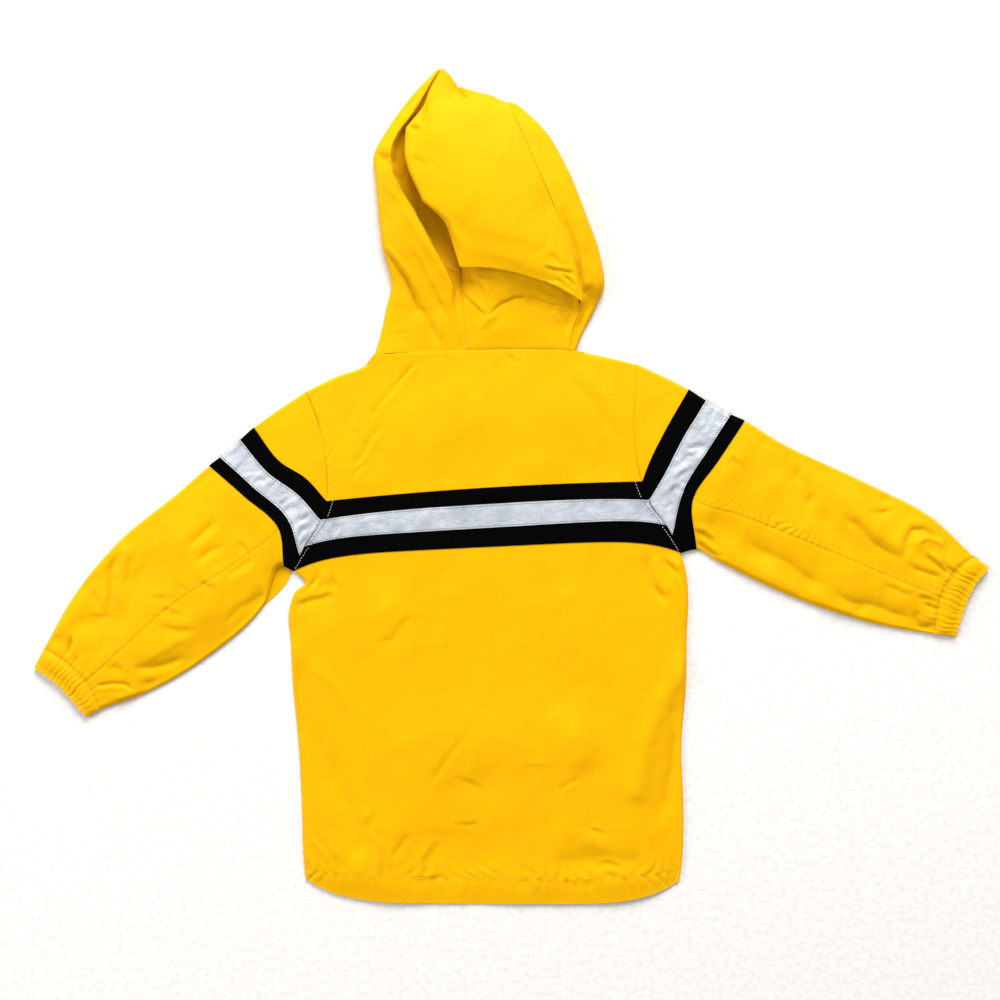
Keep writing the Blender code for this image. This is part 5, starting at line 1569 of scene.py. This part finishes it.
def fold_points(plan, top):
    """The round fold at the sleeve's top edge, from above to below, for each row."""
    inwards = unit(plan[:, 1] - plan[:, 0])
    rings = []
    for angle in FOLD_ANGLES:
        flat = plan[:, 0] + inwards * FOLD_DEPTH * (1.0 - math.cos(angle))
        reach = top[:, 1] - FOLD_HEIGHT if angle > 0 else np.full(len(plan), FOLD_HEIGHT)
        rings.append(lifted(flat, FOLD_HEIGHT + reach * math.sin(angle)))
    return np.stack(rings, axis=1)


def cuff_gather_relief(plan, side):
    """Gathers that run up the sleeve from the elastic of its cuff."""
    end = plan[-1]
    lengths = lengths_along(end)
    share = lengths / lengths[-1]
    distance = np.linalg.norm(plan - end[None], axis=-1)
    wave = gather_relief(share[None], lengths[-1], side, 1.0 + GATHER_SPREAD * distance)
    spots = np.stack([share * GATHER_SPOTS, share * 0.0], axis=-1)
    uneven = 0.5 + 0.5 * smooth_noise(spots, 1.0, CUFF_SEEDS[side])
    low, high = GATHER_REACH
    reach = low + (high - low) * uneven
    return wave * np.exp(-distance / reach[None])


def gather_relief(share, width, side, spread):
    """Narrow valleys between the soft bulges of a cuff's gathers, in mm."""
    relief = np.full(np.broadcast(share, spread).shape, CUFF_BULGE)
    for place, depth in CUFF_GATHERS[side]:
        distance = np.abs(share - place) * width
        relief = relief - depth * np.exp(-distance / (CUFF_VALLEY_WIDTH * spread))
    return relief


def sleeve_top(side, plan, outline, seams):
    """The upper layer of a sleeve, with its creases and the gathers at its cuff."""
    away = smooth_step((sleeve_places(side) - PUFF_START) / PUFF_LENGTH)[:, None]
    height = layer_height(
        plan, outline, seams, SLEEVE_SWELLS[side], SLEEVE_CREASES[side], SLEEVE_PUFF * away,
        SLEEVE_SEED,
    )
    inside = smooth_step(edge_distance(plan, outline) / GATHER_FREE_EDGE)
    join = np.linalg.norm(plan - plan[-1:], axis=-1)
    height = height + cuff_gather_relief(plan, side) * inside
    height = height - CUFF_JOIN_DEPTH * np.exp(-join / CUFF_JOIN_REACH) * inside
    return lifted(plan, np.maximum(height, EDGE_HEIGHT))


def sleeve_underside(side, plan):
    """The lower layer of a sleeve, flat on the floor."""
    under = plan[:, SLEEVE_UNDER_COLUMNS]
    if side == "left":
        share = np.clip((sleeve_places(side) - SLIP_START) / SLIP_LENGTH, 0.0, 1.0)
        under[:, -1] += np.sin(math.pi * share)[:, None] ** 2 * UNDERARM_SLIP
    return lifted(under, np.zeros(under.shape[:2]))


def make_sleeve(side, outline, seams, looks):
    """Both parts of a sleeve with its band, its tape and its stitching."""
    plan = sleeve_plan(side, sleeve_across())
    top = sleeve_top(side, plan, outline, seams)
    fold = fold_points(plan[:, :2], top[:, :2, 2])
    underside = sleeve_underside(side, plan)
    front = np.concatenate([top[:, BACK_SEAM:0:-1], fold, underside], axis=1)
    back = top[:, BACK_SEAM:].copy()
    back[:, 0] += (back[:, 1] - back[:, 0]) * BACK_SEAM_SHIFT
    name = "sleeve_" + side
    cloth_piece(name + "_outer", name + "_front", "yellow_cloth", front, looks)
    cloth_piece(name + "_inner", name + "_back", "yellow_cloth", back, looks)
    add_sleeve_trims(side, top, fold, looks)
    start = row_at(sleeve_places(side), BAND_OUT) + 1
    seam_line = inset_line(front, "first column", BACK_SEAM_INSET)[start:-SLEEVE_BARE_ROWS]
    stitching(name + "_stitches", [seam_line], looks["yellow_thread"])
    return plan, top


def add_sleeve_trims(side, top, fold, looks):
    """The black band and the silver tape round a sleeve."""
    name = "sleeve_" + side
    places = sleeve_places(side)
    first, low, high, last = (
        row_at(places, place) for place in (BAND_IN, TAPE_IN, TAPE_OUT, BAND_OUT)
    )
    ring = np.concatenate([top[:, :0:-1], fold[:, :TRIM_FOLD_COLUMNS]], axis=1)
    band = trim_piece(
        name + "_band_trim", name + "_band", "black_trim", ring[first:last + 1], looks,
    )
    tape = trim_piece(
        name + "_tape_trim", name + "_tape", "silver_tape", band[low - first:high - first + 1],
        looks, SLEEVE_TAPE_CRINKLE,
    )
    stitching(name + "_tape_stitches", tape_lines(tape), looks["grey_thread"])


# ---------------- the cuffs


def make_cuff(side, plan, top, looks):
    """A gathered elastic cuff: a flattened ring with ruffles, pinched where it is sewn."""
    near = plan[-1]
    far = evaluate(np.array(CUFF_OUT[side]), np.linspace(0.0, 3.0, len(near)))
    rings = []
    for k in range(CUFF_ROWS + 1):
        share = k / CUFF_ROWS
        line = near + (far - near) * (CUFF_GAP_SHARE + (1.0 - CUFF_GAP_SHARE) * share)
        rings.append(cuff_ring(line, far - near, share, top[-1, :, 2], side))
    grid = np.array(rings)
    grid = np.concatenate([grid, grid[:, :1]], axis=1)
    name = "cuff_" + side
    cloth_piece(name + "_cloth", name, "yellow_cloth", grid, looks)
    upper = grid[:, CUFF_END_COLUMNS:CUFF_AROUND // 2 - CUFF_END_COLUMNS]
    lines = [inset_line(upper, edge, inset) for edge, inset in CUFF_INSETS]
    stitching(name + "_stitches", lines, looks["yellow_thread"])


def cuff_across():
    """Shares of a cuff's width from one fold to the other, closer together at the folds."""
    half = CUFF_AROUND // 2
    even = np.arange(half) / half
    turn = np.pi * even
    eased = 0.5 - 0.5 * np.cos(turn) * np.abs(np.cos(turn)) ** CUFF_EASING_POWER
    return CUFF_EASING * eased + (1.0 - CUFF_EASING) * even


def cuff_ring(line, outwards, share, sleeve_height, side):
    """One ring of a cuff, over the top and back underneath; share is 0 where it is sewn."""
    across = cuff_across()
    lengths = lengths_along(line)
    width = lengths[-1]
    flat = at_lengths(line, line, across * width)
    out = unit(at_lengths(line, outwards, across * width))
    edge = np.sqrt(np.clip(1.0 - np.abs(2 * across - 1) ** CUFF_EDGE_POWER, 0.0, 1.0))
    bulge = math.sin(math.pi * min(1.0, CUFF_RISE_SPREAD * share) ** CUFF_RISE_POWER)
    pinch = CUFF_PINCH + CUFF_MIDDLE_RISE * bulge + CUFF_END_RISE * share
    along_waves, across_waves = CUFF_DRIFT_WAVES
    drift = across + CUFF_DRIFT * np.sin(along_waves * share + across_waves * across)
    wave = gather_relief(drift, width, side, 1.0 + CUFF_GATHER_SPREAD * share)
    wave = wave * smooth_step(share / CUFF_GATHER_START)
    height = FOLD_HEIGHT + (CUFF_HEIGHT * pinch - FOLD_HEIGHT + wave) * edge
    sewn = math.exp(-((share / CUFF_SEWN_REACH) ** 2))
    joined = np.interp(across * width, lengths, sleeve_height)
    height = height * (1.0 - sewn) + joined * sewn
    flare = CUFF_FLARE * share**3 * np.clip(wave, -1.0, 1.0)
    over = lifted(flat + out * flare[:, None], height)
    under = lifted(flat[::-1], FOLD_HEIGHT * (1.0 - edge[::-1]))
    return np.concatenate([over, under])


# ---------------- the hood


def cornered(points, places, corners):
    """A smooth curve through points, with a sharp corner at the numbered ones."""
    stops = [0, *corners, len(points) - 1]
    result = np.zeros((len(places), *points.shape[1:]))
    for start, end in zip(stops[:-1], stops[1:]):
        inside = (places >= start) & (places <= end)
        result[inside] = evaluate(points[start:end + 1], places[inside] - start)
    return result


def centre_form(places, shares, arch):
    """The centre panel without creases: nape, pocket, lip and crown."""
    left_points, right_points = (table_column(HOOD_CENTRE, column) for column in (1, 2))
    left = cornered(left_points, places, LEFT_CORNERS)
    left[:, 2] = cornered(left_points, places, HEIGHT_CORNERS)[:, 2]
    right = cornered(right_points, places, RIGHT_CORNERS)
    bulge = cornered(table_column(HOOD_CENTRE, slice(3, 5)), places, RIGHT_CORNERS)
    grid = left[:, None] * (1 - shares[:, None]) + right[:, None] * shares[:, None]
    grid[..., 1] += bulge[:, 1:] * arch
    grid[..., 2] += bulge[:, :1] * arch
    wave = np.interp(grid[..., 0], NAPE_WAVE_X, NAPE_WAVE_Y)
    weight = np.interp(places, range(len(NAPE_WAVE_SHARE)), NAPE_WAVE_SHARE)
    grid[..., 1] += wave * weight[:, None] * np.minimum(1.0, WAVE_GAIN * arch)
    rise = np.interp(shares, BRIM_SHARE, BRIM_RISE)
    last_rows = np.arange(len(HOOD_CENTRE))[-len(BRIM_RISE_SHARE):]
    grid[..., 1] += rise * np.interp(places, last_rows, BRIM_RISE_SHARE)[:, None]
    return grid


def centre_relief(plan, places, arch):
    """The creases of the centre panel: one set on the nape and another on the crown."""
    nape = crease_relief(plan, NAPE_CREASES)
    crown = crease_relief(plan, CROWN_CREASES) + swell_relief(plan, CROWN_SWELLS)
    crown_share = smooth_step(places - LIP)[:, None]
    nape_share = 1.0 - smooth_step(places - (BEND - 1))[:, None]
    relief = nape * nape_share + crown * crown_share
    relief = relief + HOOD_CRUMPLE * unevenness(plan, HOOD_SEED)
    relief = relief * np.minimum(1.0, CREASE_GAIN * arch)
    return relief - NECK_VALLEY * np.exp(-((places[:, None] / NECK_VALLEY_REACH) ** 2))


def make_hood_centre(looks):
    """The centre panel: nape, pocket under the slumped crown, lip and crown."""
    places = places_along([table_column(HOOD_CENTRE, column) for column in (1, 2)], HOOD_SPACING)
    shares = eased_shares(HOOD_COLUMNS, HOOD_EASING)
    arch = 1.0 - (2 * shares - 1) ** 2
    grid = centre_form(places, shares, arch)
    relief = centre_relief(grid[..., :2], places, arch)
    grid = grid + grid_normals(grid) * relief[..., None]
    grid = on_neck(seam_rounded(grid, shares, places))
    cloth_piece("hood_centre_panel", "hood_centre", "yellow_cloth", grid, looks)
    return grid, places


def seam_rounded(grid, shares, places):
    """Turns the crown's free left edge down, and dips its right edge at the seam."""
    widths = np.linalg.norm(grid[:, -1] - grid[:, 0], axis=1)[:, None]
    from_left = shares[None, :] * widths
    from_right = (1.0 - shares[None, :]) * widths
    crown = smooth_step((places - LIP) / CROWN_START)[:, None]
    roll = np.interp(places, EDGE_ROLL_ROW, EDGE_ROLL)[:, None]
    share = np.clip(from_left / roll, 0.0, 1.0)
    nape = 1.0 - smooth_step(places - CREST)[:, None]
    valleys = ((crown, from_right, CROWN_VALLEY), (nape, from_left, NAPE_VALLEY))
    lowered = grid.copy()
    lowered[..., 2] -= crown * EDGE_ROLL_DEPTH * (1.0 - np.sqrt(1.0 - (1.0 - share) ** 2))
    for part, distance, (depth, reach) in valleys:
        lowered[..., 2] -= part * depth * np.exp(-((distance / reach) ** 2))
    lowered[..., 2] = np.maximum(lowered[..., 2], LEAST_HOOD_HEIGHT)
    return lowered


def on_neck(grid):
    """Puts the first rows of a hood panel along the neck, a seam's gap from the body."""
    neck = body_line(-1, FINE_COLUMNS)
    seam = np.interp(grid[0, :, 0], neck[:, 0], neck[:, 1]) + SEAM_GAP
    shift = seam - grid[0, :, 1]
    for row in range(NECK_ROWS):
        grid[row, :, 1] += shift * (1.0 - row / NECK_ROWS)
    return grid


def hood_side(top_points, ridges, edge, under_x, counts):
    """A side of the hood: over its top, round the outline and back underneath."""
    places = np.concatenate([i + np.arange(count) / count for i, count in enumerate(counts)])
    places = np.append(places, len(counts))
    top = cornered(top_points, places, ridges).swapaxes(0, 1)
    flank = top[:, -1]
    rim = np.concatenate([edge, np.full((len(edge), 1), HOOD_EDGE_HEIGHT)], axis=1)
    outwards = np.where(rim[:, 0] > flank[:, 0], 1.0, -1.0)
    columns = [top]
    for angle in HOOD_UPPER_ANGLES:
        share = 1.0 - math.cos(angle)
        point = rim + (flank - rim) * (share, share, math.sin(angle))
        columns.append(point[:, None])
    for angle in HOOD_LOWER_ANGLES:
        point = rim.copy()
        point[:, 0] -= outwards * HOOD_EDGE_HEIGHT * (1.0 - math.cos(angle))
        point[:, 2] = HOOD_EDGE_HEIGHT * (1.0 - math.sin(angle))
        columns.append(point[:, None])
    start = columns[-1][:, 0]
    for share in HOOD_UNDER_SHARES:
        point = start.copy()
        point[:, 0] = start[:, 0] * (1.0 - share) + under_x * share
        columns.append(point[:, None])
    return np.concatenate(columns, axis=1)


def side_relief(grid, creases, top_columns):
    """A hood side with its creases, which fade out towards the outline."""
    past = np.arange(grid.shape[1]) - top_columns
    fade = np.clip(1.0 - past / EDGE_FADE_COLUMNS, 0.0, 1.0)
    relief = crease_relief(grid[..., :2], creases)
    relief = relief + HOOD_CRUMPLE * unevenness(grid[..., :2], HOOD_SEED)
    relief = relief * fade * smooth_step(np.arange(grid.shape[1]) / SEAM_FADE_COLUMNS)
    relief = np.where(grid[..., 2] < HIDDEN_HEIGHT, 0.0, relief)
    creased = grid + grid_normals(grid) * relief[..., None]
    creased[:, :top_columns, 2] = np.maximum(creased[:, :top_columns, 2], TROUGH_FLOOR)
    return creased


def make_hood_side(side, points, ridges, edge, under_x, looks):
    """One side panel of the hood from the curves across it."""
    creases, steps = HOOD_SIDES[side]
    grid = hood_side(np.array(points), ridges, edge, under_x, steps)
    grid = on_neck(side_relief(grid, creases, sum(steps) + 1))
    name = "hood_" + side
    cloth_piece(name + "_panel", name, "yellow_cloth", grid, looks)
    return grid


def side_places(seam, edges):
    """Places along a side panel of the hood, from its seam and its outline."""
    return places_along([seam, lifted(edges, np.zeros(len(edges)))], HOOD_SPACING)


def make_hood_right(looks):
    """The right side of the hood, from the centre panel's edge to the edge underneath."""
    names = [row[0] for row in HOOD_RIGHT]
    seam = table_column([row for row in HOOD_CENTRE if row[0] in names], 2)
    places = side_places(seam, table_column(HOOD_RIGHT, 4))
    table = np.array([[row[1], *row[2], *row[3], *row[4], row[5]] for row in HOOD_RIGHT])
    drop, mid_x, mid_z, flank_x, flank_z, edge_x, edge_y, under_x = evaluate(table, places).T
    start = cornered(seam, places, (CREST, CREST + 1)) + (SEAM_GAP, 0.0, 0.0)
    start[:, 2] -= drop + SEAM_STEP
    mid = np.stack([mid_x, 0.5 * (start[:, 1] + edge_y), mid_z], axis=-1)
    flank = np.stack([flank_x, edge_y, flank_z], axis=-1)
    edge = np.stack([edge_x, edge_y], axis=-1)
    return make_hood_side("right", [start, mid, flank], (), edge, under_x, looks)


def make_hood_left(looks):
    """The left side of the hood, with its crest beside the deep trough."""
    shared = [row[1] for row in HOOD_CENTRE[:SHARED_HOOD_ROWS]]
    ends = np.array(shared + [row[1] for row in HOOD_LEFT[SHARED_HOOD_ROWS:]])
    edges = table_column(HOOD_LEFT, 6)
    places = side_places(ends, edges)
    tuck = cornered(ends, places, (CREST, FLOOR)) - (SEAM_GAP, 0.0, 0.0)
    edge = evaluate(edges, places)
    points = [tuck]
    for column in (2, 3, 4, 5):
        x, z = evaluate(table_column(HOOD_LEFT, column), places).T
        share = (x - tuck[:, 0]) / (edge[:, 0] - tuck[:, 0])
        y = tuck[:, 1] * (1 - share) + edge[:, 1] * share
        points.append(np.stack([x, y, z], axis=-1))
    under_x = np.interp(places, range(len(HOOD_LEFT)), table_column(HOOD_LEFT, 7))
    return make_hood_side("left", points, (2,), edge, under_x, looks)


def hood_stitches(centre, places, left, right, looks):
    """Top stitching beside the hood's seams."""
    crown = row_at(places, LIP + CROWN_BARE_PLACES)
    crest = row_at(places, CREST)
    rows = (
        (centre, "last column", crown, -BARE_ROWS),
        (centre, "first column", BARE_ROWS, crest),
        (left, "first column", BARE_ROWS, crest),
        (right, "first column", RIGHT_HOOD_BARE_ROWS, -BARE_ROWS),
    )
    lines = [inset_line(grid, edge, HOOD_INSET)[start:end] for grid, edge, start, end in rows]
    stitching("hood_stitches", lines, looks["yellow_thread"])


# ---------------- floor, light and camera


def make_floor():
    """A large pale floor under the coat."""
    low, high = -FLOOR_REACH, FLOOR_REACH
    points = [(low, low, 0.0), (high, low, 0.0), (high, high, 0.0), (low, high, 0.0)]
    floor = new_mesh_object("floor", np.array(points), [(0, 1, 2, 3)], floor_material())


def area_light(name, place, size, power):
    """A soft square light that looks at the middle of the coat, in metres."""
    light = bpy.data.lights.new(name, "AREA")
    light.shape = "SQUARE"
    light.size = size
    light.energy = power
    light.color = DAYLIGHT
    obj = bpy.data.objects.new(name, light)
    obj.location = place
    pitch = math.acos(place[2] / np.linalg.norm(place))
    yaw = math.atan2(-place[0], place[1])
    obj.rotation_euler = (pitch, 0.0, math.pi + yaw)
    bpy.context.scene.collection.objects.link(obj)


def make_light():
    """Soft daylight from above the hood, with a weaker light from the left and an even fill."""
    area_light("window_light", *WINDOW_LIGHT)
    area_light("side_light", *SIDE_LIGHT)
    world = bpy.data.worlds.new("soft_daylight")
    world.use_nodes = True
    background = world.node_tree.nodes["Background"]
    background.inputs["Color"].default_value = FILL_COLOUR
    background.inputs["Strength"].default_value = FILL_STRENGTH
    bpy.context.scene.world = world
    bpy.context.scene.view_settings.view_transform = "Standard"


def make_camera():
    """A camera straight above the coat, as in the photograph."""
    camera = bpy.data.cameras.new("camera")
    camera.sensor_width = SENSOR_WIDTH
    camera.lens = SENSOR_WIDTH * CAMERA_HEIGHT / FRAME_WIDTH
    obj = bpy.data.objects.new("camera", camera)
    centre = photo_points(PHOTO_CENTRE) * MM
    obj.location = (centre[0], centre[1], CAMERA_HEIGHT)
    bpy.context.scene.collection.objects.link(obj)
    bpy.context.scene.camera = obj


# ---------------- the scene


def make_looks():
    """Every material of the coat, by its slot or its thread."""
    looks = {
        "yellow_cloth": yellow_cloth(),
        "black_trim": black_weave(),
        "silver_tape": silver_tape(),
    }
    threads = (("yellow", YELLOW_THREAD), ("white", WHITE_THREAD), ("grey", GREY_THREAD))
    for name, colour in threads:
        looks[name + "_thread"] = thread_material(name + "_thread", colour)
    return looks


def main():
    """Dresses the frame."""
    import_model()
    looks = make_looks()
    make_floor()
    make_light()
    make_camera()
    outline = build_outline()
    seams = build_seams()
    make_back(outline, seams, looks)
    make_fronts(looks)
    for side in ("left", "right"):
        plan, top = make_sleeve(side, outline, seams, looks)
        make_cuff(side, plan, top, looks)
    centre, places = make_hood_centre(looks)
    left = make_hood_left(looks)
    right = make_hood_right(looks)
    hood_stitches(centre, places, left, right, looks)


main()
